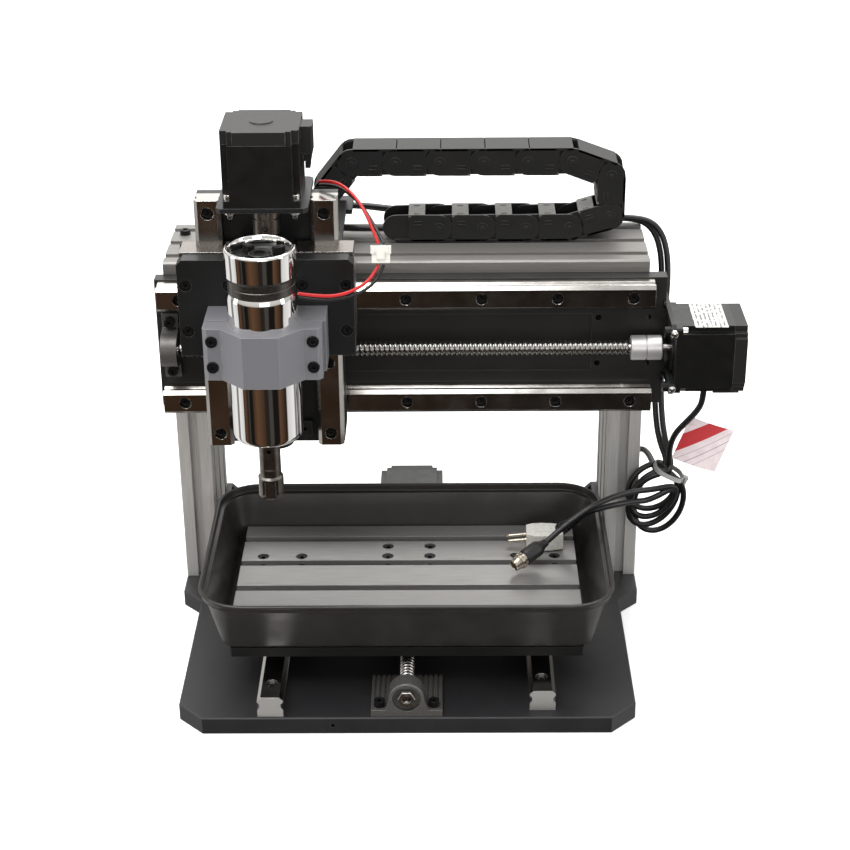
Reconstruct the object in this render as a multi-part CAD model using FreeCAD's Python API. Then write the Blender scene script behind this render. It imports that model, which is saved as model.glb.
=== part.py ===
import FreeCAD, Part
import math
import os
from FreeCAD import Vector

# Bench-top router with a fixed gantry and a moving table. Millimetres, +Z up.
# X runs along the gantry, Y from the front of the base plate to its back.
# While the pieces are built, Y is measured from the base plate's front edge;
# write() moves each one so that the origin is the middle of the base plate's underside.

# ---- base plate and columns
base_width = 390.0
base_wing = 17.0
base_depth = 312.0
base_thick = 14.0
base_chamfer = 20.0
base_wing_front = 174.0
column_width = 28.0
column_depth = 90.0
column_front = 216.0
beam_bottom = 190.0
# ---- gantry
beam_front = 205.7
beam_depth = 90.0
beam_top = 310.0
beam_wall = 4.0
face_plate_thick = 12.0
face_plate_top = 300.0
face_plate_left_over = 6.0
face_plate_right_over = 13.0
# ---- linear guides: rail, bearing block and their running clearance
rail_width = 20.0
rail_height = 17.5
rail_flat = 14.5
rail_hole_pitch = 60.0
rail_bore_radius = 4.75
rail_bore_deep = 8.5
rail_screw_radius = 3.0
block_width = 44.0
block_length = 77.5
block_body_length = 50.5
block_height = 30.0
block_underside = 4.6
block_hole_across = 32.0
block_hole_along = 36.0
guide_clearance = 0.3
x_rail_end_gap = 7.0
x_rail_upper_z = 289.0
x_rail_lower_z = 199.5
y_rail_length = 280.0
y_rail_inset = 33.0
y_rail_left_front = 2.0
y_rail_right_front = 10.0
z_rail_length = 200.0
z_rail_bottom = 196.0
z_rail_offset = 42.85
# ---- screw drives
screw_radius = 6.0
screw_journal_radius = 4.0
screw_centre_height = 15.0
running_clearance = 0.05
coupling_radius = 10.0
coupling_length = 25.0
shaft_radius = 3.175
shaft_reach = 20.0
pillow_width = 55.0
pillow_thick = 13.0
pillow_foot = 6.0
pillow_hole_pitch = 42.0
pillow_hole_radius = 2.4
pillow_boss_radius = 13.5
bearing_radius = 11.0
y_screw_z = 30.0
y_bearing_front = 1.5
y_bearing_depth = 49.0
y_boss_depth = 15.0
nut_radius = 11.0
# ---- stepper motors with a 56.4 mm square flange
motor_size = 56.4
motor_length = 46.0
motor_cap_length = 10.0
motor_notch = 5.2
motor_flange = 5.0
motor_hole_pitch = 47.14
motor_hole_radius = 2.6
motor_pilot_radius = 19.0
motor_pilot_height = 1.6
bracket_thick = 4.0
z_motor_plate_thick = 3.5
y_motor_plate_front = 275.0
y_motor_plate_thick = 8.0
# ---- X carriage
x_carriage_home = 100.4
x_carriage_width = 105.0
x_carriage_bottom = 191.0
x_carriage_shoulder = 322.0
x_carriage_plate_thick = 8.0
z_rail_face = 124.0
# ---- Z carriage and spindle
z_plate_width = 130.0
z_plate_height = 76.0
z_plate_thick = 13.0
z_plate_bottom = 283.5
clamp_height = 40.0
clamp_width = 86.0
clamp_flange_reach = 15.5
clamp_wall = 6.0
clamp_gap = 1.0
clamp_screw_spread = 36.5
spindle_radius = 26.0
spindle_gap = 2.5
spindle_bottom = 232.0
spindle_top = 381.0
spindle_cap_height = 22.0
spindle_neck_height = 11.0
nose_radius = 8.0
nose_bottom = 199.0
collet_nut_radius = 9.5
collet_nut_height = 18.0
collet_bore_radius = 3.175
collet_bore_depth = 16.0
# ---- table, tray and their carriage
y_plate_front = 40.6
y_plate_depth = 166.0
y_plate_side_gap = 9.0
y_plate_thick = 8.0
y_block_y = 173.5
tray_top = 100.0
tray_wall = 1.2
tray_front = 22.8
tray_back = 225.9
tray_side_gap = 5.0
tray_flare = 15.0
tray_ledge = 3.0
tray_ledge_drop = 8.0
tray_corner = 36.0
tray_floor_corner = 15.0
table_side_gap = 8.5
table_thick = 14.8
table_edge = 1.0
slot_pitch = 40.0
slot_mouth = 8.0
slot_width = 15.0
slot_lip = 3.5
slot_deep = 8.5
# ---- cable chain
chain_width = 30.0
chain_height = 23.0
chain_wall = 2.0
chain_y = 265.0
chain_bend_radius = 28.0
chain_arm_reach = 56.6
chain_upper_length = 178.0
chain_lower_length = 143.0
chain_end_drop = 27.0
chain_end_run = 21.0
# ---- cables
harness_diameter = 7.0
lead_diameter = 5.0
wire_diameter = 2.4
plug_gap = 0.9
hank_centre = (218.0, 206.0, 88.0)
hank_long = 66.0
hank_wide = 40.0
hank_thick = 15.0
hank_lean = 30.0
# ---- small hardware
socket_head_radius = 4.2
socket_head_height = 5.0
hex_size = 2.0

column_outer = base_width / 2.0
column_inner = column_outer - column_width
base_nose_width = base_width - 2.0 * base_wing
beam_left = -column_outer
beam_right = column_outer
face_plate_left = beam_left - face_plate_left_over
face_plate_right = beam_right + face_plate_right_over
x_rail_length = face_plate_right - face_plate_left - 2.0 * x_rail_end_gap
x_carriage_x = face_plate_left + x_carriage_home
chain_moving_x = x_carriage_x + chain_arm_reach
chain_bend_x = chain_moving_x + chain_upper_length
chain_fixed_x = chain_bend_x - chain_lower_length
tray_half_width = column_inner - tray_side_gap
tray_floor_half = tray_half_width - tray_flare
table_width = 2.0 * (tray_floor_half - table_side_gap)
y_plate_width = 2.0 * (tray_floor_half - y_plate_side_gap)
y_rail_x = y_plate_width / 2.0 - y_rail_inset
beam_back = beam_front + beam_depth
rail_face = beam_front - face_plate_thick
x_screw_y = rail_face - screw_centre_height
x_screw_z = (x_rail_upper_z + x_rail_lower_z) / 2.0 + 1.5
x_carriage_back = rail_face - block_height
z_screw_y = z_rail_face - screw_centre_height
z_block_face = z_rail_face - block_height
z_plate_front = z_block_face - z_plate_thick
z_rail_top = z_rail_bottom + z_rail_length
z_motor_bottom = z_rail_top + z_motor_plate_thick
z_coupling_top = z_rail_top - 0.5
spindle_y = z_plate_front - spindle_radius - spindle_gap
clamp_flange_front = spindle_y - clamp_flange_reach
clamp_top = z_plate_bottom + clamp_height
clamp_bulge_radius = spindle_radius + clamp_wall
y_plate_bottom = base_thick + block_height
y_plate_top = y_plate_bottom + y_plate_thick
table_bottom = y_plate_top + tray_wall
table_top = table_bottom + table_thick
bracket_x = face_plate_right
x_motor_x = bracket_x + bracket_thick
x_coupling_x = bracket_x - 4.0 - coupling_length
x_pillow_x = face_plate_left + 5.0
y_motor_y = y_motor_plate_front + y_motor_plate_thick
y_coupling_y = y_motor_plate_front - 5.0 - coupling_length
chain_low_z = beam_top + chain_height / 2.0
chain_high_z = chain_low_z + 2.0 * chain_bend_radius


# ---- helpers
def vec(*p):
    return Vector(*p)


def box(x0, x1, y0, y1, z0, z1):
    return Part.makeBox(x1 - x0, y1 - y0, z1 - z0, vec(x0, y0, z0))


def rod(start, direction, radius, length):
    return Part.makeCylinder(radius, length, vec(*start), vec(*direction))


def join(first, *others):
    return first.multiFuse(list(others)).removeSplitter()


def sheet(points):
    """A flat face through a list of corner points."""
    corners = [vec(*p) for p in points]
    return Part.Face(Part.makePolygon(corners + corners[:1]))


def prism(points, run):
    return sheet(points).extrude(vec(*run))


def edges_along(shape, axis, test=None):
    """The straight edges that run along one axis (0, 1 or 2) and pass the test on their middle."""
    found = []
    for edge in shape.Edges:
        if not isinstance(edge.Curve, Part.Line):
            continue
        ends = [v.Point for v in edge.Vertexes]
        spread = [abs(ends[0][k] - ends[1][k]) for k in range(3)]
        across = [spread[k] for k in range(3) if k != axis]
        middle = (ends[0] + ends[1]) * 0.5
        if max(across) < 1e-6 and (test is None or test(middle)):
            found.append(edge)
    return found


def mirror_x(shape, x=0.0):
    return shape.mirror(vec(x, 0, 0), vec(1, 0, 0))


def write(node, *solids):
    moved = []
    for solid in solids:
        copy = solid.copy()
        copy.translate(vec(0, -base_depth / 2.0, 0))
        moved += copy.Solids
    shape = moved[0] if len(moved) == 1 else Part.makeCompound(moved)
    shape.exportStep(f"parts/{node}.step")


def place(shape, origin, along, up):
    """Move a shape drawn with local X along and local Z up to its place."""
    x_axis = vec(*along)
    z_axis = vec(*up)
    y_axis = z_axis.cross(x_axis)
    matrix = FreeCAD.Matrix(
        x_axis.x, y_axis.x, z_axis.x, origin[0],
        x_axis.y, y_axis.y, z_axis.y, origin[1],
        x_axis.z, y_axis.z, z_axis.z, origin[2],
        0, 0, 0, 1)
    return shape.transformed(matrix)


def socket_screw(top, direction, radius, length):
    """A socket head screw; top is the middle of its head's outer face, direction points into the work."""
    d = vec(*direction)
    top = vec(*top)
    head = Part.makeCylinder(socket_head_radius, socket_head_height, top, d)
    shank = Part.makeCylinder(radius, length, top + d * socket_head_height, d)
    side = vec(0, 0, 1) if abs(d.z) < 0.5 else vec(1, 0, 0)
    cross = d.cross(side)
    corners = []
    for k in range(6):
        turn = math.radians(60.0 * k)
        corners.append(top + side * (hex_size * math.cos(turn)) + cross * (hex_size * math.sin(turn)))
    hexagon = Part.Face(Part.makePolygon(corners + corners[:1])).extrude(d * (socket_head_height * 0.6))
    return head.fuse(shank).cut(hexagon).removeSplitter()


# ---- linear guide pieces, drawn along local X with the mounting face at local Z = 0
def rail_profile(grow, height):
    """Half of the rail's outline from the foot up, grown by a clearance."""
    half = rail_width / 2.0 + grow
    waist = half - 1.8
    top = height + grow
    return [(half, 0.0), (half, 6.3), (waist, 8.3), (waist, 11.4), (half, 13.2),
            (half, 14.8), (rail_flat / 2.0 + grow, top)]


def rail_outline(grow, height, x, low=0.0):
    half = rail_profile(grow, height)
    half[0] = (half[0][0], low)
    right = [(x, y, z) for y, z in half]
    left = [(x, -y, z) for y, z in reversed(half)]
    return right + left


def rail(length, first_hole):
    body = prism(rail_outline(0.0, rail_height, 0.0), (length, 0, 0))
    holes = []
    at = first_hole
    while at < length - rail_bore_radius - 1.0:
        holes.append(rod((at, 0, rail_height - rail_bore_deep), (0, 0, 1), rail_bore_radius,
                         rail_bore_deep + 1))
        holes.append(rod((at, 0, -1), (0, 0, 1), rail_screw_radius, rail_height))
        at += rail_hole_pitch
    return body.cut(Part.makeCompound(holes))


def rail_screws(length, first_hole):
    """The screws in a rail, their heads down in the counterbores."""
    screws = []
    at = first_hole
    while at < length - rail_bore_radius - 1.0:
        head = rod((at, 0, rail_height - rail_bore_deep), (0, 0, 1), socket_head_radius, socket_head_height)
        shank = rod((at, 0, 0.5), (0, 0, 1), rail_screw_radius - 0.4, rail_height - rail_bore_deep)
        socket = rod((at, 0, rail_height - rail_bore_deep + 2.0), (0, 0, 1), hex_size, socket_head_height)
        screws.append(head.fuse(shank).cut(socket).removeSplitter())
        at += rail_hole_pitch
    return screws


def bearing_block():
    """A linear bearing block centred on local X = 0, with its end caps a little smaller."""
    half = block_width / 2.0
    body = box(-block_body_length / 2.0, block_body_length / 2.0, -half, half, block_underside, block_height)
    corners = edges_along(body, 0, lambda m: m.z > block_height - 1)
    body = body.makeChamfer(1.2, corners)
    caps = box(-block_length / 2.0, block_length / 2.0, -half + 0.8, half - 0.8,
               block_underside + 0.4, block_height - 1.0)
    block = body.fuse(caps)
    channel = prism(rail_outline(guide_clearance, rail_height, -block_length, -1.0), (2.0 * block_length, 0,
                                                                                      0))
    block = block.cut(channel)
    for sx in (-0.5, 0.5):
        for sy in (-0.5, 0.5):
            block = block.cut(rod((sx * block_hole_along, sy * block_hole_across, block_height - 6.0),
                                  (0, 0, 1), 2.2, 10.0))
    return block.removeSplitter()


# ---- screw drive pieces
def pillow_block(thick):
    """A pillow block's housing and its ball bearing: axis along local X at screw_centre_height over Z = 0."""
    half = pillow_width / 2.0
    height = screw_centre_height
    foot = box(0, thick, -half, half, 0, pillow_foot)
    web = prism([(0, -16.0, pillow_foot - 1), (0, 16.0, pillow_foot - 1),
                 (0, pillow_boss_radius - 0.6, height), (0, -pillow_boss_radius + 0.6, height)], (thick, 0,
                                                                                                  0))
    boss = rod((0, 0, height), (1, 0, 0), pillow_boss_radius, thick)
    housing = join(foot, web, boss)
    housing = housing.cut(rod((-1, 0, height), (1, 0, 0), bearing_radius, thick + 2))
    for side in (-0.5, 0.5):
        housing = housing.cut(rod((thick / 2.0, side * pillow_hole_pitch, -1), (0, 0, 1),
                                  pillow_hole_radius, pillow_foot + 2))
    ring = rod((thick / 2.0 - 3.5, 0, height), (1, 0, 0), bearing_radius, 7.0)
    ring = ring.cut(rod((-1, 0, height), (1, 0, 0), screw_journal_radius + running_clearance, thick + 2))
    groove = rod((thick / 2.0 - 4.5, 0, height), (1, 0, 0), 8.6, 2.0)
    groove = groove.cut(rod((thick / 2.0 - 5.5, 0, height), (1, 0, 0), 6.0, 4.0))
    return [housing, ring.cut(groove)]


def coupling(start, direction):
    """A clamp coupling: plain sleeve with a saw cut round its middle."""
    body = rod(start, direction, coupling_radius, coupling_length)
    body = body.makeChamfer(0.6, [e for e in body.Edges if isinstance(e.Curve, Part.Circle)])
    d = vec(*direction)
    middle = vec(*start) + d * (coupling_length / 2.0)
    body = body.cut(Part.makeCylinder(screw_journal_radius, coupling_length / 2.0 + 1, vec(*start) - d, d))
    body = body.cut(Part.makeCylinder(shaft_radius, coupling_length, middle, d))
    groove = Part.makeCylinder(coupling_radius + 1, 0.8, middle - d * 0.4, d)
    return body.cut(groove.cut(Part.makeCylinder(coupling_radius - 1.2, 0.8, middle - d * 0.4, d)))


def motor(cap_up):
    """Motor body and end cap on local Z, flange down at Z = 0; the cap carries a connector box on local +X."""
    half = motor_size / 2.0
    body = box(-half, half, -half, half, 0, motor_length)
    keep = half - motor_notch
    for sx in (-1, 1):
        for sy in (-1, 1):
            corner = box(min(sx * keep, sx * (half + 1)), max(sx * keep, sx * (half + 1)),
                         min(sy * keep, sy * (half + 1)), max(sy * keep, sy * (half + 1)),
                         motor_flange, motor_length + 1)
            body = body.cut(corner)
            hole = (sx * motor_hole_pitch / 2.0, sy * motor_hole_pitch / 2.0, -1)
            body = body.cut(rod(hole, (0, 0, 1), motor_hole_radius, motor_flange + 2))
    body = body.makeFillet(2.5, edges_along(body, 2, lambda m: m.z < motor_flange))
    body = body.fuse(rod((0, 0, -motor_pilot_height), (0, 0, 1), motor_pilot_radius, motor_pilot_height + 1))
    body = body.cut(rod((0, 0, -3), (0, 0, 1), shaft_radius + running_clearance, 30))
    top = motor_length + motor_cap_length
    cap = box(-half, half, -half, half, motor_length, top)
    step = motor_notch + 4.0
    for sx in (-1, 1):
        for sy in (-1, 1):
            inner = half - motor_notch
            cap = cap.cut(box(min(sx * inner, sx * (half + 1)), max(sx * inner, sx * (half + 1)),
                              min(sy * inner, sy * (half + 1)), max(sy * inner, sy * (half + 1)),
                              motor_length - 1, top + 1))
            nick = half - step
            cap = cap.cut(box(min(sx * nick, sx * (half + 1)), max(sx * nick, sx * (half + 1)),
                              min(sy * (half - 2.2), sy * (half + 1)), max(sy * (half - 2.2),
                                                                           sy * (half + 1)),
                              motor_length - 1, top + 1))
    cap = cap.fuse(rod((0, 0, top), (0, 0, 1), 8.5, 0.8))
    socket = box(half - 1.0, half + 8.5, -9.0, 9.0, top - 22.0, top - 1.5)
    socket = socket.makeFillet(1.2, edges_along(socket, 2, lambda m: m.x > half))
    socket = socket.cut(body)
    cap = cap.fuse(socket).removeSplitter()
    return [body.removeSplitter(), cap] if cap_up else [body.removeSplitter()]


def screw_and_shaft(start, direction, length, journal_start, journal_end, shaft_start):
    """A ball screw with journals at both ends, and the motor shaft in line with it."""
    d = vec(*direction)
    s = vec(*start)
    main = Part.makeCylinder(screw_radius, length - journal_start - journal_end, s + d * journal_start, d)
    main = main.makeChamfer(0.8, [e for e in main.Edges if isinstance(e.Curve, Part.Circle)])
    spine = Part.makeCylinder(screw_journal_radius, length, s, d)
    shaft = Part.makeCylinder(shaft_radius, shaft_reach + 20.0, vec(*shaft_start), d)
    return [main.fuse(spine).removeSplitter(), shaft]


# ---- cables
def cord(points, diameter):
    """A round cable along straight runs joined by tangent arcs; returns the solid and its smallest bend."""
    route = [vec(*p) for p in points]
    edges = []
    start = route[0]
    smallest = 1e9
    for before, corner, after in zip(route, route[1:], route[2:]):
        d1 = (corner - before).normalize()
        d2 = (after - corner).normalize()
        turn = d1.getAngle(d2)
        shorter = min((corner - before).Length, (after - corner).Length)
        reach = 0.45 * shorter
        radius = reach / math.tan(turn / 2.0)
        smallest = min(smallest, radius)
        enter = corner - d1 * reach
        leave = corner + d2 * reach
        bisector = (d2 - d1).normalize()
        middle = corner + bisector * (radius / math.cos(turn / 2.0) - radius)
        edges.append(Part.LineSegment(start, enter).toShape())
        edges.append(Part.Arc(enter, middle, leave).toShape())
        start = leave
    edges.append(Part.LineSegment(start, route[-1]).toShape())
    path = Part.Wire(edges)
    heading = (route[1] - route[0]).normalize()
    section = Part.Wire([Part.makeCircle(diameter / 2.0, route[0], heading)])
    tube = path.makePipeShell([section], True, False)
    print(f"cable length {path.Length:.1f} volume ratio "
          f"{tube.Volume / (path.Length * math.pi * diameter ** 2 / 4.0):.4f} smallest bend {smallest:.1f}")
    return tube


# ---- frame
def base_plate():
    half = base_width / 2.0
    nose = base_nose_width / 2.0
    step = half - nose
    c = base_chamfer
    right = [(nose - c, 0), (nose, c), (nose, base_wing_front), (half, base_wing_front + step),
             (half, base_depth)]
    slot = motor_size / 2.0 + 5.0
    slot_front = y_motor_y - motor_pilot_height - 0.4
    rear = [(slot, base_depth), (slot, slot_front), (-slot, slot_front), (-slot, base_depth)]
    left = [(-x, y) for x, y in reversed(right)]
    plate = prism([(x, y, 0) for x, y in right + rear + left], (0, 0, base_thick))
    plate = plate.makeChamfer(0.8, [e for e in plate.Edges if abs(e.CenterOfMass.z - base_thick) < 1e-6])
    return plate.cut(rod((-nose * 0.32, -1, base_thick / 2.0), (0, 1, 0), 1.6, 12.0))


def column():
    """Right-hand column: slotted extrusion with three grooves on its sides and one on its front."""
    body = box(column_inner, column_outer, column_front, column_front + column_depth, base_thick, beam_bottom)
    body = body.makeFillet(1.0, edges_along(body, 2))
    height = beam_bottom - base_thick
    middle = (column_inner + column_outer) / 2.0
    cuts = [box(middle - 4.0, middle + 4.0, column_front - 1, column_front + 5.5, base_thick, beam_bottom),
            box(middle - 7.0, middle + 7.0, column_front + 2.0, column_front + 5.5, base_thick, beam_bottom)]
    for k in range(3):
        y = column_front + column_depth * (k + 0.5) / 3.0
        for face, way in ((column_inner, 1), (column_outer, -1)):
            near = min(face, face + way * 5.0)
            lip = min(face + way * 2.0, face + way * 5.0)
            cuts.append(box(near, near + 5.0, y - 4.0, y + 4.0, base_thick, beam_bottom))
            cuts.append(box(lip, lip + 3.0, y - 7.0, y + 7.0, base_thick, beam_bottom))
        cuts.append(rod((middle, y, base_thick), (0, 0, 1), 2.6, height))
    return body.cut(Part.makeCompound(cuts[:1])).cut(Part.makeCompound(cuts[1:2])).cut(
        cuts[2].multiFuse(cuts[3:])).removeSplitter()


def gusset():
    """Triangular bracket in the corner between the right-hand column and the base plate."""
    back = column_front + column_depth
    leg = 44.0
    plate = prism([(column_inner, back - 6.0, base_thick), (column_inner - leg, back - 6.0, base_thick),
                   (column_inner - leg, back - 6.0, base_thick + 5.0),
                   (column_inner - 5.0, back - 6.0, base_thick + leg),
                   (column_inner, back - 6.0, base_thick + leg)], (0, 6.0, 0))
    foot = box(column_inner - leg, column_inner, back - 26.0, back - 6.0, base_thick, base_thick + 5.0)
    wall = box(column_inner - 5.0, column_inner, back - 26.0, back - 6.0, base_thick, base_thick + leg)
    return join(plate, foot, wall)


def gantry_beam():
    body = box(beam_left, beam_right, beam_front, beam_back, beam_bottom, beam_top)
    body = body.makeChamfer(1.5, edges_along(body, 0))
    cuts = []
    cell_depth = (beam_depth - 3.0 * beam_wall) / 2.0
    cell_height = (beam_top - beam_bottom - 4.0 * beam_wall - 6.0) / 3.0
    for row in range(3):
        for col in range(2):
            y = beam_front + beam_wall + col * (cell_depth + beam_wall)
            z = beam_bottom + beam_wall + row * (cell_height + beam_wall)
            cuts.append(box(beam_left, beam_right, y, y + cell_depth, z, z + cell_height))
    for k in range(3):
        y = beam_front + beam_depth * (k + 0.5) / 3.0
        cuts.append(box(beam_left, beam_right, y - 4.0, y + 4.0, beam_top - 2.4, beam_top))
    for cut in cuts:
        body = body.cut(cut)
    return body


def gantry_face_plate():
    plate = box(face_plate_left, face_plate_right, rail_face, beam_front, beam_bottom, face_plate_top)
    pattern = 20.0
    centre = face_plate_right - 32.7
    for sx in (-1, 1):
        for sz in (-1, 1):
            plate = plate.cut(rod((centre + sx * pattern - 1.2, rail_face - 1, x_screw_z + sz * pattern),
                                  (0, 1, 0), 2.6, face_plate_thick + 2))
    pocket = box(face_plate_left + 47.0, face_plate_right - 59.0, rail_face - 1, rail_face + 1.2,
                 x_rail_lower_z + rail_width, x_rail_upper_z - rail_width)
    return plate.cut(pocket)


def x_rails():
    start = -x_rail_length / 2.0
    first = x_rail_length / 2.0 - 3.0 * rail_hole_pitch
    pieces = []
    for z in (x_rail_lower_z, x_rail_upper_z):
        pieces.append(place(rail(x_rail_length, first), (start, rail_face, z), (1, 0, 0), (0, -1, 0)))
    return pieces


def frame_screws():
    screws = []
    start = -x_rail_length / 2.0
    first = x_rail_length / 2.0 - 3.0 * rail_hole_pitch
    for z in (x_rail_lower_z, x_rail_upper_z):
        for screw in rail_screws(x_rail_length, first):
            screws.append(place(screw, (start, rail_face, z), (1, 0, 0), (0, -1, 0)))
    for x, y in ((-y_rail_x, y_rail_left_front), (y_rail_x, y_rail_right_front)):
        for screw in rail_screws(y_rail_length, rail_hole_pitch / 3.0):
            screws.append(place(screw, (x, y, base_thick), (0, 1, 0), (0, 0, 1)))
    for side in (-0.5, 0.5):
        top = rail_face - pillow_foot - socket_head_height
        screws.append(socket_screw((x_pillow_x + pillow_thick / 2.0, top,
                                    x_screw_z + side * pillow_hole_pitch),
                                   (0, 1, 0), pillow_hole_radius - 0.2, pillow_foot - 0.5))
        screws.append(socket_screw((side * pillow_hole_pitch, y_bearing_front + 7.0,
                                    base_thick + pillow_foot + socket_head_height),
                                   (0, 0, -1), pillow_hole_radius - 0.2, pillow_foot - 0.5))
    for sy in (-0.5, 0.5):
        for sz in (-0.5, 0.5):
            y = x_screw_y + sy * motor_hole_pitch
            z = x_screw_z + sz * motor_hole_pitch
            screws.append(socket_screw((bracket_x - socket_head_height, y, z), (1, 0, 0), 2.0, 7.5)
                          if sy < 0 else rod((bracket_x + 0.2, y, z), (1, 0, 0), 2.0, 7.0))
    return screws


def x_motor_bracket():
    """Plate behind the X motor's flange, with a slot that is open to the front for the shaft."""
    half = motor_size / 2.0 + 1.8
    low, high = x_screw_z - half, x_screw_z + half
    plate = box(bracket_x, bracket_x + bracket_thick, x_screw_y - half, x_screw_y + half + 34.0, low, high)
    plate = plate.makeChamfer(6.0, edges_along(plate, 0))
    slot = box(bracket_x - 1, bracket_x + 9, x_screw_y - half - 1, x_screw_y,
               x_screw_z - motor_pilot_radius - 0.3, x_screw_z + motor_pilot_radius + 0.3)
    plate = plate.cut(slot)
    plate = plate.cut(rod((bracket_x - 1, x_screw_y, x_screw_z), (1, 0, 0), motor_pilot_radius + 0.3, 9.0))
    for sy in (-0.5, 0.5):
        for sz in (-0.5, 0.5):
            plate = plate.cut(rod((bracket_x - 1, x_screw_y + sy * motor_hole_pitch,
                                   x_screw_z + sz * motor_hole_pitch), (1, 0, 0), 2.2, 9.0))
    return plate


def y_motor_plate():
    half = motor_size / 2.0 + 1.8
    plate = box(-half, half, y_motor_plate_front, y_motor_y, base_thick, y_screw_z + half)
    plate = plate.makeChamfer(5.0, edges_along(plate, 1, lambda m: m.z > base_thick + 1))
    return plate.cut(rod((0, y_motor_plate_front - 1, y_screw_z), (0, 1, 0), motor_pilot_radius + 0.3, 12.0))


def y_front_bearing():
    """Front bearing: a short boss on a long foot with grooves along it, and its ball bearing."""
    half = pillow_width / 2.0
    y0, y1 = y_bearing_front, y_bearing_front + y_bearing_depth
    foot = box(-half, half, y0, y1, base_thick, base_thick + pillow_foot)
    web = prism([(-17.0, y0, base_thick + pillow_foot - 1), (17.0, y0, base_thick + pillow_foot - 1),
                 (pillow_boss_radius - 0.5, y0, y_screw_z), (-pillow_boss_radius + 0.5, y0, y_screw_z)],
                (0, y_boss_depth, 0))
    boss = rod((0, y0, y_screw_z), (0, 1, 0), pillow_boss_radius, y_boss_depth)
    boss = boss.makeChamfer(0.8, [e for e in boss.Edges if isinstance(e.Curve, Part.Circle)])
    housing = join(foot, web, boss)
    cuts = [rod((0, y0 - 1, y_screw_z), (0, 1, 0), bearing_radius, y_boss_depth + 2)]
    for k in range(4):
        for side in (-1, 1):
            x = side * (half - 3.0 - 4.0 * k)
            cuts.append(box(x - 1.0, x + 1.0, y0 + 13.0, y1 + 1, base_thick + pillow_foot - 1.6,
                            base_thick + pillow_foot + 1))
    for side in (-0.5, 0.5):
        cuts.append(rod((side * pillow_hole_pitch, y0 + 7.0, base_thick - 1), (0, 0, 1),
                        pillow_hole_radius, pillow_foot + 2))
    for cut in cuts:
        housing = housing.cut(cut)
    ring = rod((0, y0 + 4.0, y_screw_z), (0, 1, 0), bearing_radius, 7.0)
    ring = ring.cut(rod((0, y0, y_screw_z), (0, 1, 0), screw_journal_radius + running_clearance, 20.0))
    return [housing, ring]


def y_screw():
    start = y_bearing_front + 1.0
    length = y_coupling_y + coupling_length / 2.0 - 0.5 - start
    pieces = screw_and_shaft((0, start, y_screw_z), (0, 1, 0), length, 17.0, 14.0,
                             (0, y_coupling_y + coupling_length / 2.0 + 0.5, y_screw_z))
    corners = []
    for k in range(6):
        turn = math.radians(60.0 * k)
        corners.append((7.0 * math.cos(turn), start - 1.6, y_screw_z + 7.0 * math.sin(turn)))
    nut = prism(corners, (0, 4.0, 0)).cut(rod((0, start - 2.0, y_screw_z), (0, 1, 0), screw_journal_radius,
                                              9.0))
    return pieces + [nut, coupling((0, y_coupling_y, y_screw_z), (0, 1, 0))]


def nut_housing(width, depth, low, high):
    """A ball nut's housing centred on the screw: local X along the screw, Z from low to high."""
    body = box(-depth / 2.0, depth / 2.0, -width / 2.0, width / 2.0, low, high)
    body = body.makeChamfer(2.0, edges_along(body, 0))
    return body.cut(rod((-depth, 0, 0), (1, 0, 0), screw_radius + running_clearance, 2.0 * depth))


# ---- X carriage
def x_carriage_body():
    """The plate behind the Z rails, thick behind the gantry's rails and thin above them."""
    half = x_carriage_width / 2.0
    plate_back = z_rail_face + x_carriage_plate_thick
    body = box(x_carriage_x - half, x_carriage_x + half, z_rail_face, plate_back, x_carriage_bottom,
               z_rail_top)
    body = body.fuse(box(x_carriage_x - half, x_carriage_x + half, plate_back, x_carriage_back,
                         x_carriage_bottom, x_carriage_shoulder))
    body = body.removeSplitter().makeChamfer(0.8, edges_along(body, 2, lambda m: m.y < z_rail_face + 1))
    for side in (-1, 1):
        middle = x_carriage_x + side * half / 2.0
        body = body.cut(box(middle - 19.0, middle + 19.0, plate_back, x_carriage_back - 9.0,
                            x_carriage_bottom - 1, x_carriage_shoulder - 6.0))
    right = x_carriage_x + half
    chain_front = chain_y - chain_width / 2.0
    shelf = chain_high_z - chain_end_drop
    link = box(right - 14.0, right, plate_back, chain_front - 1.0, shelf - 8.0, shelf - 4.0)
    arm = box(right - 14.0, right + 4.0, chain_front - 5.0, chain_front + chain_width, shelf - 14.5,
              shelf - 10.6)
    riser = box(right - 14.0, right, chain_front - 5.0, chain_front - 1.0, shelf - 14.5, shelf - 4.0)
    return join(body, link, arm, riser)


def z_rails():
    return [place(rail(z_rail_length, 10.0), (x_carriage_x + side * z_rail_offset, z_rail_face,
                                              z_rail_bottom),
                  (0, 0, 1), (0, -1, 0)) for side in (-1, 1)]


def z_rail_screws():
    return [place(screw, (x_carriage_x + side * z_rail_offset, z_rail_face, z_rail_bottom), (0, 0, 1), (0,
                                                                                                        -1, 0))
            for side in (-1, 1) for screw in rail_screws(z_rail_length, 10.0)]


def z_motor_plate():
    half = motor_size / 2.0 + 5.0
    plate = box(x_carriage_x - half, x_carriage_x + half, z_screw_y - half + 3.0, z_screw_y + half + 10.0,
                z_rail_top, z_motor_bottom)
    plate = plate.makeChamfer(3.0, edges_along(plate, 2))
    plate = plate.cut(rod((x_carriage_x, z_screw_y, z_rail_top - 1), (0, 0, 1), motor_pilot_radius + 0.3,
                          9.0))
    pins = []
    for sx in (-0.5, 0.5):
        for sy in (-0.5, 0.5):
            x = x_carriage_x + sx * motor_hole_pitch
            y = z_screw_y + sy * motor_hole_pitch
            plate = plate.cut(rod((x, y, z_rail_top - 1), (0, 0, 1), 2.2, 9.0))
            length = 14.0 if sy < 0 else 6.0
            pins.append(rod((x, y, z_motor_bottom + 4.5 - length), (0, 0, 1), 2.0, length))
    return [plate] + pins


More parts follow.
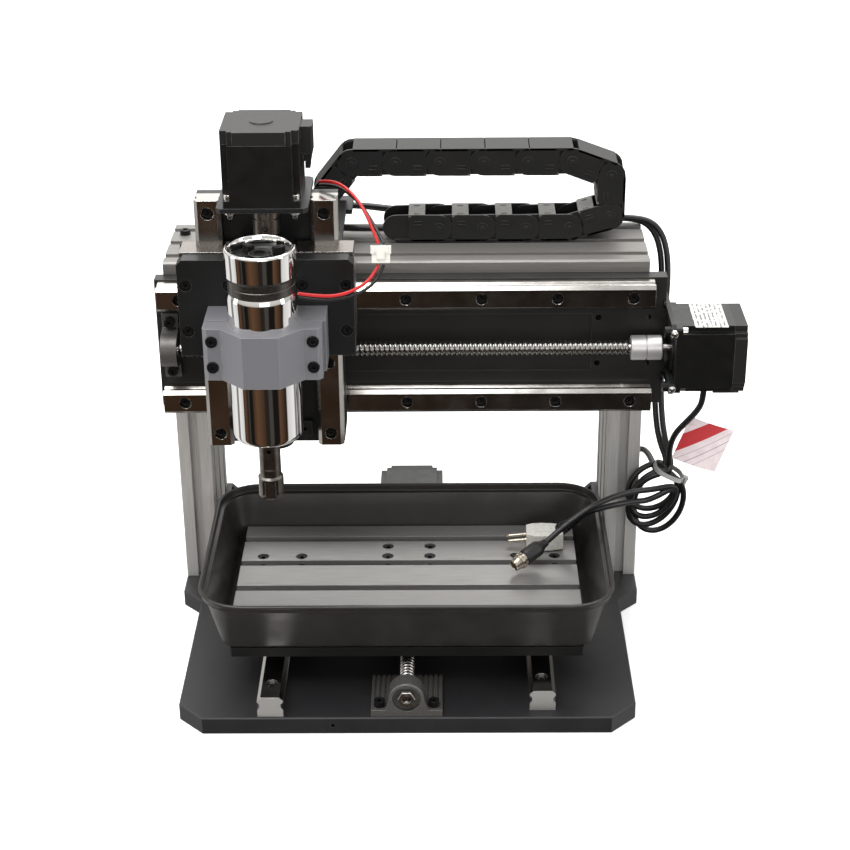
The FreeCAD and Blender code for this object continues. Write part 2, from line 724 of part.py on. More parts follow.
# ---- Z carriage
def z_plate():
    half = z_plate_width / 2.0
    top = z_plate_bottom + z_plate_height
    plate = box(x_carriage_x - half, x_carriage_x + half, z_plate_front, z_block_face, z_plate_bottom, top)
    plate = plate.makeChamfer(4.0, edges_along(plate, 1, lambda m: m.z > top - 1))
    for x, z in z_plate_holes():
        plate = plate.cut(rod((x, z_plate_front - 1, z), (0, 1, 0), 4.6, 6.5))
        plate = plate.cut(rod((x, z_plate_front - 1, z), (0, 1, 0), 2.7, z_plate_thick + 2))
    return plate


def z_plate_holes():
    holes = []
    middle = z_plate_bottom + z_plate_height / 2.0
    for side in (-1, 1):
        for sx in (-0.5, 0.5):
            for sz in (-0.5, 0.5):
                holes.append((x_carriage_x + side * z_rail_offset + sx * block_hole_across,
                              middle + sz * block_hole_along))
    return holes


def z_screws():
    screws = []
    for x, z in z_plate_holes():
        screws.append(socket_screw((x, z_plate_front + 0.5, z), (0, 1, 0), 2.4, z_plate_thick - 6.5))
    for side in (-1, 1):
        for z in (z_plate_bottom + 10.0, clamp_top - 10.0):
            screws.append(socket_screw((x_carriage_x + side * clamp_screw_spread,
                                        clamp_flange_front - 1.0, z), (0, 1, 0), 2.4, 30.0))
    return screws


def clamp_half(front):
    """One half of the spindle clamp: flanges on both sides and a faceted bulge round the spindle."""
    half = clamp_width / 2.0
    low, high = z_plate_bottom, clamp_top
    y_split = spindle_y - clamp_gap / 2.0 if front else spindle_y + clamp_gap / 2.0
    if front:
        outline = [(-half, y_split), (-half, clamp_flange_front + 3.0), (-half + 3.0, clamp_flange_front)]
        facet = clamp_bulge_radius * math.tan(math.radians(22.5))
        rise = clamp_flange_front - (spindle_y - clamp_bulge_radius)
        outline += [(-facet - rise, clamp_flange_front), (-facet, spindle_y - clamp_bulge_radius)]
        outline += [(-x, y) for x, y in reversed(outline)]
    else:
        wide = 2.0
        outline = [(-half, y_split), (half + wide, y_split), (half + wide, z_plate_front), (-half,
                                                                                            z_plate_front)]
    body = prism([(x_carriage_x + x, y, low) for x, y in outline], (0, 0, high - low))
    body = body.cut(rod((x_carriage_x, spindle_y, low - 1), (0, 0, 1), spindle_radius + 0.03,
                        clamp_height + 2))
    for side in (-1, 1):
        for z in (low + 10.0, high - 10.0):
            x = x_carriage_x + side * clamp_screw_spread
            body = body.cut(rod((x, clamp_flange_front - 1, z), (0, 1, 0), 2.6,
                                z_plate_front - clamp_flange_front + 2))
            if front:
                body = body.cut(rod((x, clamp_flange_front - 2, z), (0, 1, 0), socket_head_radius + 0.3,
                                    socket_head_height + 1.0))
    return body


def spindle_body():
    neck_top = spindle_top - spindle_cap_height
    neck_bottom = neck_top - spindle_neck_height
    body = rod((x_carriage_x, spindle_y, spindle_bottom), (0, 0, 1), spindle_radius,
               neck_bottom - spindle_bottom)
    body = body.makeFillet(3.0, [e for e in body.Edges if abs(e.CenterOfMass.z - spindle_bottom) < 1e-3
                                 and isinstance(e.Curve, Part.Circle)])
    neck = rod((x_carriage_x, spindle_y, neck_bottom), (0, 0, 1), spindle_radius - 1.5, spindle_neck_height)
    body = body.fuse(neck)
    return body.cut(rod((x_carriage_x, spindle_y, spindle_bottom - 1), (0, 0, 1),
                        nose_radius + running_clearance, 21.0)).removeSplitter()


def spindle_cap():
    low = spindle_top - spindle_cap_height
    cap = rod((x_carriage_x, spindle_y, low), (0, 0, 1), spindle_radius, spindle_cap_height)
    cap = cap.makeFillet(1.6, [e for e in cap.Edges if abs(e.CenterOfMass.z - spindle_top) < 1e-3
                               and isinstance(e.Curve, Part.Circle)])
    return cap.cut(rod((x_carriage_x, spindle_y, spindle_top - 10.0), (0, 0, 1), spindle_radius - 3.0, 12.0))


def spindle_shaft():
    shaft = rod((x_carriage_x, spindle_y, nose_bottom), (0, 0, 1), nose_radius,
                spindle_bottom + 18.0 - nose_bottom)
    flat = box(-nose_radius - 1, nose_radius + 1, -nose_radius - 1, -nose_radius + 1.2, 0, 9.0)
    low = nose_bottom + 6.0
    for turn in (0, 180):
        tool = flat.copy()
        tool.rotate(vec(0, 0, 0), vec(0, 0, 1), turn)
        tool.translate(vec(x_carriage_x, spindle_y, low))
        shaft = shaft.cut(tool)
    return shaft.cut(rod((x_carriage_x, spindle_y - 12.0, nose_bottom + 22.0), (0, 1, 0), 1.8, 24.0))


def collet_nut():
    low = nose_bottom - collet_nut_height
    nut = rod((x_carriage_x, spindle_y, low), (0, 0, 1), collet_nut_radius, collet_nut_height)
    nut = nut.makeChamfer(1.5, [e for e in nut.Edges if isinstance(e.Curve, Part.Circle)])
    for k in range(6):
        turn = math.radians(60.0 * k)
        x = x_carriage_x + (collet_nut_radius + 0.6) * math.cos(turn)
        y = spindle_y + (collet_nut_radius + 0.6) * math.sin(turn)
        nut = nut.cut(rod((x, y, low + 3.0), (0, 0, 1), 1.6, collet_nut_height - 6.0))
    return nut.cut(rod((x_carriage_x, spindle_y, low - 1), (0, 0, 1), collet_bore_radius,
                       collet_bore_depth + 1))


# ---- Y carriage
def y_carriage_plate():
    half = y_plate_width / 2.0
    plate = box(-half, half, y_plate_front, y_plate_front + y_plate_depth, y_plate_bottom, y_plate_top)
    return plate.makeChamfer(1.0, edges_along(plate, 2))


def rounded(half_x, y0, y1, z, radius):
    """A wire round a rectangle with round corners, in a level plane."""
    face = Part.Face(Part.makePolygon([vec(-half_x, y0, z), vec(half_x, y0, z), vec(half_x, y1, z),
                                       vec(-half_x, y1, z), vec(-half_x, y0, z)]))
    solid = face.extrude(vec(0, 0, 1))
    solid = solid.makeFillet(radius, edges_along(solid, 2))
    for candidate in solid.Faces:
        if abs(candidate.CenterOfMass.z - z) < 1e-6 and abs(candidate.normalAt(0, 0).z) > 0.99:
            return candidate.OuterWire


def tray_shell(inset, low, high):
    """The tray's flared form as a solid, drawn in by a wall's thickness."""
    ledge_z = tray_top - tray_ledge_drop
    lip = tray_ledge
    bottom = rounded(tray_half_width - tray_flare - inset, tray_front + tray_flare + inset,
                     tray_back - tray_flare - inset, low, tray_floor_corner - inset)
    ledge = rounded(tray_half_width - lip - 2.0 - inset, tray_front + lip + 2.0 + inset,
                    tray_back - lip - 2.0 - inset, ledge_z + inset, tray_corner - lip - 2.0 - inset)
    bowl = Part.makeLoft([bottom, ledge], True, True)
    rim = rounded(tray_half_width - 2.0 - inset, tray_front + 2.0 + inset, tray_back - 2.0 - inset,
                  ledge_z + inset, tray_corner - 2.0 - inset)
    wall = Part.Face(rim).extrude(vec(0, 0, high - ledge_z - inset))
    return bowl.fuse(wall)


def drip_tray():
    outer = tray_shell(0.0, y_plate_top, tray_top)
    inner = tray_shell(tray_wall, y_plate_top + tray_wall, tray_top + 1.0)
    roll = Part.Face(rounded(tray_half_width, tray_front, tray_back, tray_top - 3.0, tray_corner))
    roll = roll.extrude(vec(0, 0, 3.0))
    return outer.fuse(roll).cut(inner).removeSplitter()


def table_box():
    front = tray_front + tray_flare + tray_wall + 2.0
    back = tray_back - tray_flare - tray_wall - 2.0
    return front, back


def t_slot_table():
    front, back = table_box()
    half = table_width / 2.0
    table = box(-half, half, front, back, table_bottom, table_top)
    table = table.makeChamfer(table_edge, edges_along(table, 0))
    first = (front + back) / 2.0 - 1.5 * slot_pitch
    for k in range(4):
        y = first + slot_pitch * k
        table = table.cut(box(-half, half, y - slot_mouth / 2.0, y + slot_mouth / 2.0,
                              table_top - slot_deep, table_top))
        table = table.cut(box(-half, half, y - slot_width / 2.0, y + slot_width / 2.0,
                              table_top - slot_deep, table_top - slot_lip))
    for x, y in table_holes():
        table = table.cut(rod((x, y, table_bottom), (0, 0, 1), 2.7, table_thick))
        table = table.cut(rod((x, y, table_top - 6.0), (0, 0, 1), 4.7, 7.0))
    return table


def table_holes():
    """Bolts into the front rows of both bearing blocks, and four into the nut housing."""
    row = y_block_y - block_hole_along / 2.0
    holes = []
    for side in (-1, 1):
        for sx in (-0.5, 0.5):
            holes.append((side * y_rail_x + sx * block_hole_across, row))
    for sx in (-1, 1):
        holes.append((sx * 17.5, row))
        holes.append((sx * 17.5, row + 16.5))
    return holes


def table_screws():
    screws = []
    for x, y in table_holes():
        screws.append(socket_screw((x, y, table_top - 1.0), (0, 0, -1), 2.4, table_thick - 7.0))
    return screws


# ---- cable chain: a box section cut into links by shallow steps
def chain_run(x0, x1, z):
    y0 = chain_y - chain_width / 2.0
    low, high = z - chain_height / 2.0, z + chain_height / 2.0
    outer = box(x0, x1, y0, y0 + chain_width, low, high)
    inner = box(x0 - 1, x1 + 1, y0 + chain_wall, y0 + chain_width - chain_wall, low + chain_wall,
                high - chain_wall)
    return outer.cut(inner)


def chain_bend():
    middle = (chain_low_z + chain_high_z) / 2.0
    centre = (chain_bend_x, chain_y - chain_width / 2.0, middle)

    def half_ring(inner, outer, y, width):
        ring = rod((centre[0], y, centre[2]), (0, 1, 0), outer, width)
        ring = ring.cut(rod((centre[0], y - 1, centre[2]), (0, 1, 0), inner, width + 2))
        return ring.common(box(centre[0], centre[0] + 99, y - 1, y + width + 1, 0, 999))
    reach = chain_height / 2.0
    outer = half_ring(chain_bend_radius - reach, chain_bend_radius + reach, centre[1], chain_width)
    inner = half_ring(chain_bend_radius - reach + chain_wall, chain_bend_radius + reach - chain_wall,
                      centre[1] + chain_wall, chain_width - 2.0 * chain_wall)
    return outer.cut(inner)


def chain_end_link():
    """The sloping link between the upper run and the carriage's bracket."""
    length = math.hypot(chain_end_run, chain_end_drop)
    y0 = chain_y - chain_width / 2.0
    half = chain_height / 2.0 - 2.0
    link = box(-length - 6.0, -12.4, y0 + 0.5, y0 + chain_width - 0.5, -half, half)
    link = link.cut(box(-length - 7.0, 0, y0 + 2.5, y0 + chain_width - 2.5, -half + 2.0, half - 2.0))
    link.rotate(vec(0, 0, 0), vec(0, 1, 0), -math.degrees(math.atan2(chain_end_drop, chain_end_run)))
    link.translate(vec(chain_moving_x, 0, chain_high_z))
    return link


# ---- loose cables, their plugs and what ties them
harness_route = [(4, 265, 316.4), (-17, 265.2, 316.4), (-41, 265.5, 316.4), (-64, 268.5, 316.6), (-81,
                                                                                                  282.5, 317),
                 (-82, 304.5, 317.2), (-66.5, 320.5, 317), (-43, 322.5, 316.6), (-14, 314, 316), (20, 302,
                                                                                                  315.4),
                 (56, 293.5, 315), (100, 290, 315), (146, 290, 315.8), (183, 289, 316.2), (202, 286.5, 313.6),
                 (212.5, 279.5, 300.5), (215.5, 268, 275), (212, 257, 236), (210, 245, 197), (210.5, 231,
                                                                                              163),
                 (213.5, 220, 142), (217, 211, 124)]
x_motor_route = [(237.5, 163, 217.2), (237.3, 163.5, 205), (234, 170, 193), (228, 182, 178), (221, 194, 162),
                 (218, 200, 148), (218, 203.5, 136), (219, 206, 124)]
y_motor_route = [(37.2, 327, 30), (51, 327, 29.5), (70, 320.5, 24), (100, 309.5, 18.6), (140, 311, 24),
                 (172, 313, 48), (191, 312.5, 72), (203, 303, 92), (206, 280, 104), (209, 250, 110), (211,
                                                                                                      216.6, 111)]
lead_a_route = [(214, 195.4, 108), (204, 192, 110), (190, 186, 112), (172, 176, 113), (151, 163, 110),
                (134, 158, 99), (122, 152, 91.5), (114, 146.5, 86.5)]
lead_b_route = [(212, 195.4, 98), (202, 191.5, 100), (188, 184, 103), (172, 174, 105.5), (158, 168.5, 105),
                (149, 169, 102), (142, 169.5, 96.5)]
red_upper_route = [(-62, 132, 402), (-54, 126, 404.5), (-44, 115, 405), (-33, 103, 399), (-23.5, 91, 386),
                   (-17.3, 80.9, 371.9)]
black_upper_route = [(-62, 134, 398.5), (-53, 129, 400.5), (-43, 118, 400.5), (-30.5, 105, 394), (-20, 92,
                                                                                                  382),
                     (-13.3, 80.9, 371.9)]
red_lower_route = [(-17.3, 75.1, 357.6), (-21, 71, 350.5), (-31, 64, 344), (-45, 57, 341), (-60, 51, 343),
                   (-74.2, 46.8, 347)]
black_lower_route = [(-13.3, 75.1, 357.6), (-17, 71.5, 348.5), (-28, 65, 340.5), (-44, 58, 337.5), (-60, 52,
                                                                                                    339),
                     (-74.0, 48.6, 343)]


def cable_hank():
    """The wound spare cable as one closed oval ring."""
    half = hank_long / 2.0
    wide = hank_wide / 2.0
    ring = Part.makeCylinder(1.0, hank_thick, vec(0, -hank_thick / 2.0, 0), vec(0, 1, 0))
    stretch = FreeCAD.Matrix(wide, 0, 0, 0, 0, 1, 0, 0, 0, 0, half, 0, 0, 0, 0, 1)
    ring = ring.transformGeometry(stretch)
    ring.rotate(vec(0, 0, 0), vec(0, 1, 0), hank_lean)
    ring.translate(vec(*hank_centre))
    return ring


def cable_tie():
    x, y, z = hank_centre
    tie = box(x - 14.0, x + 14.0, y - 9.0, y + 10.0, z + 30.6, z + 34.6)
    return tie.cut(box(x - 12.8, x + 12.8, y - 7.8, y + 8.8, z + 20.0, z + 44.0))


def inspection_tag():
    """A square paper tag that hangs on a thread from the cables."""
    tag = box(-19.5, 19.5, -0.3, 0.3, -20.5, 20.5)
    tag = tag.cut(rod((-14.0, -1, 15.0), (0, 1, 0), 2.2, 2.0))
    tag.rotate(vec(0, 0, 0), vec(0, 1, 0), 20.0)
    tag.translate(vec(245.5, 201.5, 147.0))
    eye = vec(236.6, 201.5, 165.4)
    thread = vec(222.5, 193.5, 163.5) - eye
    return [tag, Part.makeCylinder(0.6, thread.Length, eye, thread)]


def plug_a():
    """A round metal plug with a moulded boot, lying on the table."""
    tip = vec(86.0, 125.5, table_top + 7.4)
    end = vec(*lead_a_route[-1])
    d = (tip - end).normalize()
    end = end + d * plug_gap
    boot = Part.makeCone(3.4, 7.0, 10.0, end, d).fuse(Part.makeCylinder(7.0, 14.0, end + d * 10.0, d))
    nose = Part.makeCylinder(5.6, (tip - end).Length - 24.0, end + d * 24.0, d)
    return boot.fuse(nose).removeSplitter()


def plug_b():
    """A flat white two-pin plug with a ribbed strain relief, lying on the table."""
    back = vec(126.0, 172.0, table_top + 15.0)
    end = vec(*lead_b_route[-1])
    d = (back - end).normalize()
    end = end + d * plug_gap
    relief = Part.makeCone(3.0, 5.0, (back - end).Length, end, d)
    low = table_top + 1.5
    body = prism([(128.0, 164.5, low), (128.0, 180.5, low), (112.0, 181.5, low), (99.0, 178.5, low),
                  (99.0, 165.0, low), (112.0, 162.5, low)], (0, 0, 13.0))
    pins = []
    for y in (167.5, 175.5):
        pins.append(rod((100.5, y, table_top + 8.5), (-1, 0, -0.1), 1.4, 19.0))
    return join(relief, body, *pins)


def lead_connector():
    """A flat two-way wire connector hanging in the spindle leads."""
    shell = box(-7.5, 7.5, -3.5, 3.5, -6.5, 6.5)
    shell = shell.makeChamfer(0.8, edges_along(shell, 2))
    latch = box(-4.0, 4.0, -5.0, -3.5, -3.0, 3.0)
    body = shell.fuse(latch).removeSplitter()
    body.rotate(vec(0, 0, 0), vec(1, 0, 0), -22.0)
    body.translate(vec(-15.3, 78.0, 364.7))
    return body


# ---- build
os.makedirs("parts", exist_ok=True)

write("base_plate", base_plate())
write("columns", mirror_x(column()), column())
write("column_gussets", mirror_x(gusset()), gusset())
write("gantry_beam", gantry_beam())
write("gantry_face_plate", gantry_face_plate())
write("x_rails", *x_rails())
write("y_rails",
      place(rail(y_rail_length, rail_hole_pitch / 3.0), (-y_rail_x, y_rail_left_front, base_thick),
            (0, 1, 0), (0, 0, 1)),
      place(rail(y_rail_length, rail_hole_pitch / 3.0), (y_rail_x, y_rail_right_front, base_thick),
            (0, 1, 0), (0, 0, 1)))
write("frame_screws", *frame_screws())
write("x_screw_bearing", *[place(p, (x_pillow_x, rail_face, x_screw_z), (1, 0, 0), (0, -1, 0))
                           for p in pillow_block(pillow_thick)])
write("y_front_bearing", *y_front_bearing())
write("motor_mounts", x_motor_bracket(), y_motor_plate())

x_motor_body, x_motor_cap = [place(p, (x_motor_x, x_screw_y, x_screw_z), (0, 0, -1), (1, 0, 0))
                             for p in motor(True)]
y_motor_body, y_motor_cap = [place(p, (0, y_motor_y, y_screw_z), (1, 0, 0), (0, 1, 0)) for p in motor(True)]
z_motor_body, z_motor_cap = [place(p, (x_carriage_x, z_screw_y, z_motor_bottom), (1, 0, 0), (0, 0, 1))
                             for p in motor(True)]
write("x_motor", x_motor_body)
write("y_motor", y_motor_body)
write("motor_end_caps", x_motor_cap, y_motor_cap)

x_screw_start = x_pillow_x + 1.0
x_shaft_start = x_coupling_x + coupling_length / 2.0 + 0.5
write("x_screw", *screw_and_shaft((x_screw_start, x_screw_y, x_screw_z), (1, 0, 0),
                                  x_coupling_x + coupling_length / 2.0 - 0.5 - x_screw_start,
                                  pillow_thick, 14.0, (x_shaft_start, x_screw_y, x_screw_z)))
write("x_coupling", coupling((x_coupling_x, x_screw_y, x_screw_z), (1, 0, 0)))
write("y_screw", *y_screw())
z_screw_start = z_rail_bottom + 3.0
z_coupling_z = z_coupling_top - coupling_length
write("z_screw", *screw_and_shaft((x_carriage_x, z_screw_y, z_screw_start), (0, 0, 1),
                                  z_coupling_z + coupling_length / 2.0 - 0.5 - z_screw_start,
                                  pillow_thick, 14.0,
                                  (x_carriage_x, z_screw_y, z_coupling_z + coupling_length / 2.0 + 0.5)))
write("z_coupling", coupling((x_carriage_x, z_screw_y, z_coupling_z), (0, 0, 1)))
write("z_screw_bearing", *[place(p, (x_carriage_x, z_rail_face, z_rail_bottom + 2.0), (0, 0, 1), (0, -1, 0))
                           for p in pillow_block(pillow_thick)])

write("x_carriage_body", x_carriage_body())
write("x_bearing_blocks", *[place(bearing_block(), (x_carriage_x, rail_face, z), (1, 0, 0), (0, -1, 0))
                            for z in (x_rail_lower_z, x_rail_upper_z)])
x_nut_high = x_screw_y - x_carriage_back
write("x_nut_housing", place(nut_housing(28.0, 40.0, -x_nut_high, 13.0),
                             (x_carriage_x, x_screw_y, x_screw_z), (1, 0, 0), (0, 1, 0)))
write("z_rails", *z_rails())
write("z_rail_screws", *z_rail_screws())
write("z_motor_plate", *z_motor_plate())
write("z_motor", z_motor_body)
write("z_motor_cap", z_motor_cap)

z_middle = z_plate_bottom + z_plate_height / 2.0
write("z_plate", z_plate())
write("z_bearing_blocks", *[place(bearing_block(), (x_carriage_x + side * z_rail_offset, z_rail_face,
                                                    z_middle),
                                  (0, 0, 1), (0, -1, 0)) for side in (-1, 1)])
write("z_nut_housing", place(nut_housing(36.0, 40.0, -12.5, z_screw_y - z_block_face),
                             (x_carriage_x, z_screw_y, z_middle), (0, 0, 1), (0, -1, 0)))
write("clamp_rear", clamp_half(False))
write("clamp_front", clamp_half(True))
write("z_plate_screws", *z_screws())
write("spindle_body", spindle_body())
write("spindle_cap", spindle_cap())
write("spindle_shaft", spindle_shaft())
write("collet_nut", collet_nut())

write("y_carriage_plate", y_carriage_plate())
write("y_bearing_blocks", *[place(bearing_block(), (side * y_rail_x, y_block_y, base_thick), (0, 1, 0), (0,
                                                                                                         0, 1))
                            for side in (-1, 1)])
write("y_nut_housing", place(nut_housing(52.0, 40.0, -14.0, y_plate_bottom - y_screw_z),
                             (0, y_block_y - 5.0, y_screw_z), (0, 1, 0), (0, 0, 1)))
write("drip_tray", drip_tray())
write("t_slot_table", t_slot_table())
write("table_screws", *table_screws())

write("cable_chain_lower", chain_run(chain_fixed_x, chain_bend_x, chain_low_z))
write("cable_chain_bend", chain_bend())
write("cable_chain_upper", chain_run(chain_moving_x, chain_bend_x, chain_high_z), chain_end_link())
write("harness_cable", cord(harness_route, harness_diameter))
write("x_motor_lead", cord(x_motor_route, lead_diameter))
write("y_motor_lead", cord(y_motor_route, lead_diameter))
write("cable_hank", cable_hank())
write("cable_tie", cable_tie())
write("inspection_tag", *inspection_tag())
write("lead_a", cord(lead_a_route, lead_diameter))
write("lead_b", cord(lead_b_route, lead_diameter))
write("plug_a", plug_a())
write("plug_b", plug_b())
write("lead_connector", lead_connector())
write("red_lead", cord(red_upper_route, wire_diameter), cord(red_lower_route, wire_diameter))
write("black_lead", cord(black_upper_route, wire_diameter), cord(black_lower_route, wire_diameter))
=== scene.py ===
"""The looks of a bench-top router with a fixed gantry and a moving table, around its CAD frame."""

import math

import bmesh
import bpy
from mathutils import Matrix, Vector


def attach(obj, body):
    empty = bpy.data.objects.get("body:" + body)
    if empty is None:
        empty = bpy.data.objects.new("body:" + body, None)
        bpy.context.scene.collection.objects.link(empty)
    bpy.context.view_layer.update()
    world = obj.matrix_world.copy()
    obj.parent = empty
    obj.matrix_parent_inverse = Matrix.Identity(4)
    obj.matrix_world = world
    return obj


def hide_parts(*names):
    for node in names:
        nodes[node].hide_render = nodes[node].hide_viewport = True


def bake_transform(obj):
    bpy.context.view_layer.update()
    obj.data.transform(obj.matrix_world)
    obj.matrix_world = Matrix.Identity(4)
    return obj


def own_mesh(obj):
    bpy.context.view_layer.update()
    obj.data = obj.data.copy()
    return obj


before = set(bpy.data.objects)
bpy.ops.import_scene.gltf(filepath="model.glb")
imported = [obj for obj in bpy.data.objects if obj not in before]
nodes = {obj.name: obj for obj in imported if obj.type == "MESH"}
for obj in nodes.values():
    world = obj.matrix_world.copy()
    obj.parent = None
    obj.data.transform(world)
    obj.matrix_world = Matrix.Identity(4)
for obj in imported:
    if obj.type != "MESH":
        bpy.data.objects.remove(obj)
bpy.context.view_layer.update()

MM = 0.001
HALF_DEPTH = 156.0          # half the base plate's depth in mm: Y is given from its front edge
CARRIAGE_X = -100.6         # middle of the X carriage
SPINDLE_Y = 52.5
X_SCREW = (178.7, 245.75)   # Y and Z of the X ball screw's axis
Z_SCREW_Y = 109.0
Y_SCREW_Z = 30.0
MOTOR_HOLE = 23.57          # from a motor's axis to its corner screws, along each side


def P(x, y, z):
    """A point given in mm from the base plate's front edge, in metres in the row frame."""
    return Vector((x, y - HALF_DEPTH, z)) * MM


def srgb(r, g, b):
    """A colour given in 8-bit display values, as scene-linear."""
    out = []
    for v in (r, g, b):
        v /= 255.0
        out.append(v / 12.92 if v <= 0.04045 else ((v + 0.055) / 1.055) ** 2.4)
    return tuple(out)


# ---------------------------------------------------------------- camera
CAM_PLACE = (0.0308, -1.3587, 0.8511)
CAM_YAW, CAM_PITCH, CAM_ROLL = 0.012, 0.4536, -0.0099
CAM_LENS, CAM_SENSOR = 79.7, 36.0


def make_camera():
    forward = Vector((-math.sin(CAM_YAW) * math.cos(CAM_PITCH), math.cos(CAM_YAW) * math.cos(CAM_PITCH),
                      -math.sin(CAM_PITCH)))
    right = Vector((math.cos(CAM_YAW), math.sin(CAM_YAW), 0.0))
    up = right.cross(forward)
    turned_right = right * math.cos(CAM_ROLL) + up * math.sin(CAM_ROLL)
    turned_up = up * math.cos(CAM_ROLL) - right * math.sin(CAM_ROLL)
    data = bpy.data.cameras.new("camera")
    data.lens, data.sensor_width = CAM_LENS, CAM_SENSOR
    camera = bpy.data.objects.new("camera", data)
    turn = Matrix((turned_right, turned_up, -forward)).transposed().to_4x4()
    camera.matrix_world = Matrix.Translation(Vector(CAM_PLACE)) @ turn
    bpy.context.scene.collection.objects.link(camera)
    bpy.context.scene.camera = camera


# ---------------------------------------------------------------- light
def area_light(name, place, target, size, power, colour=(1, 1, 1)):
    data = bpy.data.lights.new(name, "AREA")
    data.shape = "RECTANGLE"
    data.size, data.size_y = size
    data.energy = power
    data.color = colour
    lamp = bpy.data.objects.new(name, data)
    way = Vector(target) - Vector(place)
    turn = way.to_track_quat("-Z", "Y").to_matrix().to_4x4()
    lamp.matrix_world = Matrix.Translation(Vector(place)) @ turn
    bpy.context.scene.collection.objects.link(lamp)


def make_light():
    area_light("key", (-0.5, -0.4, 1.8), (0, 0, 0.2), (1.3, 0.9), 24.0)
    area_light("top", (0.2, 0.6, 1.7), (0, 0, 0.2), (1.6, 0.9), 20.0)
    area_light("back", (0.1, 2.3, 1.15), (0, 0, 0.1), (2.6, 1.0), 9.0)
    area_light("right", (1.6, -0.6, 0.8), (0, 0, 0.2), (0.4, 1.1), 5.0)
    area_light("left", (-1.7, -0.2, 0.7), (0, 0, 0.2), (0.4, 1.1), 5.0)
    area_light("front", (0.4, -2.2, 0.75), (0, 0, 0.2), (1.2, 0.5), 4.0)


NIGHT, SOOT, STEEL = (0.010, 0.009, 0.008), (0.022, 0.018, 0.015), (0.060, 0.054, 0.048)
WOOD, OAK = (0.058, 0.033, 0.019), (0.12, 0.062, 0.034)
SMOKE, PAPER, SHEET = (0.22, 0.21, 0.22), (0.70, 0.69, 0.67), (0.92, 0.91, 0.89)
ROOM_WALLS = [              # the dim room's walls, once round the object from straight in front of it
    (0.0, SOOT), (0.012, WOOD), (0.075, OAK), (0.108, WOOD), (0.118, NIGHT), (0.146, NIGHT), (0.152, STEEL),
    (0.168, SOOT), (0.196, OAK), (0.212, NIGHT), (0.218, PAPER), (0.268, SHEET), (0.276, SMOKE), (0.298, SMOKE),
    (0.306, SHEET), (0.43, PAPER), (0.45, SOOT), (0.53, NIGHT), (0.60, NIGHT), (0.61, PAPER), (0.672, SHEET),
    (0.682, SMOKE), (0.704, SMOKE), (0.710, SHEET), (0.792, PAPER), (0.802, NIGHT), (0.872, OAK),
    (0.885, NIGHT), (0.93, NIGHT), (0.937, STEEL), (0.966, STEEL), (0.972, SOOT)]


def make_world():
    """White for the eye, soft grey for diffuse light, and a dim room with pale screens in reflections."""
    world = bpy.data.worlds.new("studio")
    bpy.context.scene.world = world
    world.use_nodes = True
    tree = world.node_tree
    tree.nodes.clear()
    new = tree.nodes.new
    link = tree.links.new
    coord = new("ShaderNodeTexCoord")
    split = new("ShaderNodeSeparateXYZ")
    link(coord.outputs["Generated"], split.inputs[0])
    height = new("ShaderNodeValToRGB")
    link(remap(tree, split.outputs["Z"], -1.0, 1.0, 0.0, 1.0), height.inputs[0])
    set_ramp(height, [(0.0, (0.026, 0.021, 0.017)), (0.40, (0.05, 0.041, 0.033)), (0.49, (0.12, 0.105, 0.09)),
                      (0.53, (0.55, 0.53, 0.50)), (0.75, (0.85, 0.84, 0.82)), (1.0, (1.0, 1.0, 1.0))])
    azimuth = new("ShaderNodeMath")
    azimuth.operation = "ARCTAN2"
    link(split.outputs["X"], azimuth.inputs[0])
    link(split.outputs["Y"], azimuth.inputs[1])
    walls = new("ShaderNodeValToRGB")
    link(remap(tree, azimuth.outputs[0], -math.pi, math.pi, 0.0, 1.0), walls.inputs[0])
    set_ramp(walls, ROOM_WALLS)
    room = new("ShaderNodeMix")
    room.data_type = "RGBA"
    link(height.outputs[0], room.inputs[6])
    link(walls.outputs[0], room.inputs[7])
    link(remap(tree, split.outputs["Z"], -0.05, 0.05, 1.0, 0.0), room.inputs[0])
    seen = new("ShaderNodeLightPath")
    glossy = new("ShaderNodeBackground")
    link(room.outputs[2], glossy.inputs[0])
    soft = new("ShaderNodeBackground")
    soft.inputs[0].default_value = (1.0, 1.0, 1.0, 1.0)
    soft.inputs[1].default_value = 0.55
    white = new("ShaderNodeBackground")
    white.inputs[0].default_value = (1.0, 1.0, 1.0, 1.0)
    white.inputs[1].default_value = 1.0
    first = new("ShaderNodeMixShader")
    link(seen.outputs["Is Glossy Ray"], first.inputs[0])
    link(soft.outputs[0], first.inputs[1])
    link(glossy.outputs[0], first.inputs[2])
    second = new("ShaderNodeMixShader")
    link(seen.outputs["Is Camera Ray"], second.inputs[0])
    link(first.outputs[0], second.inputs[1])
    link(white.outputs[0], second.inputs[2])
    out = new("ShaderNodeOutputWorld")
    link(second.outputs[0], out.inputs[0])


def remap(tree, value, low, high, to_low, to_high):
    node = tree.nodes.new("ShaderNodeMapRange")
    node.inputs["From Min"].default_value = low
    node.inputs["From Max"].default_value = high
    node.inputs["To Min"].default_value = to_low
    node.inputs["To Max"].default_value = to_high
    tree.links.new(value, node.inputs["Value"])
    return node.outputs["Result"]


def set_ramp(node, stops):
    elements = node.color_ramp.elements
    while len(elements) < len(stops):
        elements.new(1.0)
    for element, (at, colour) in zip(elements, stops):
        element.position = at
        element.color = (*colour, 1.0)


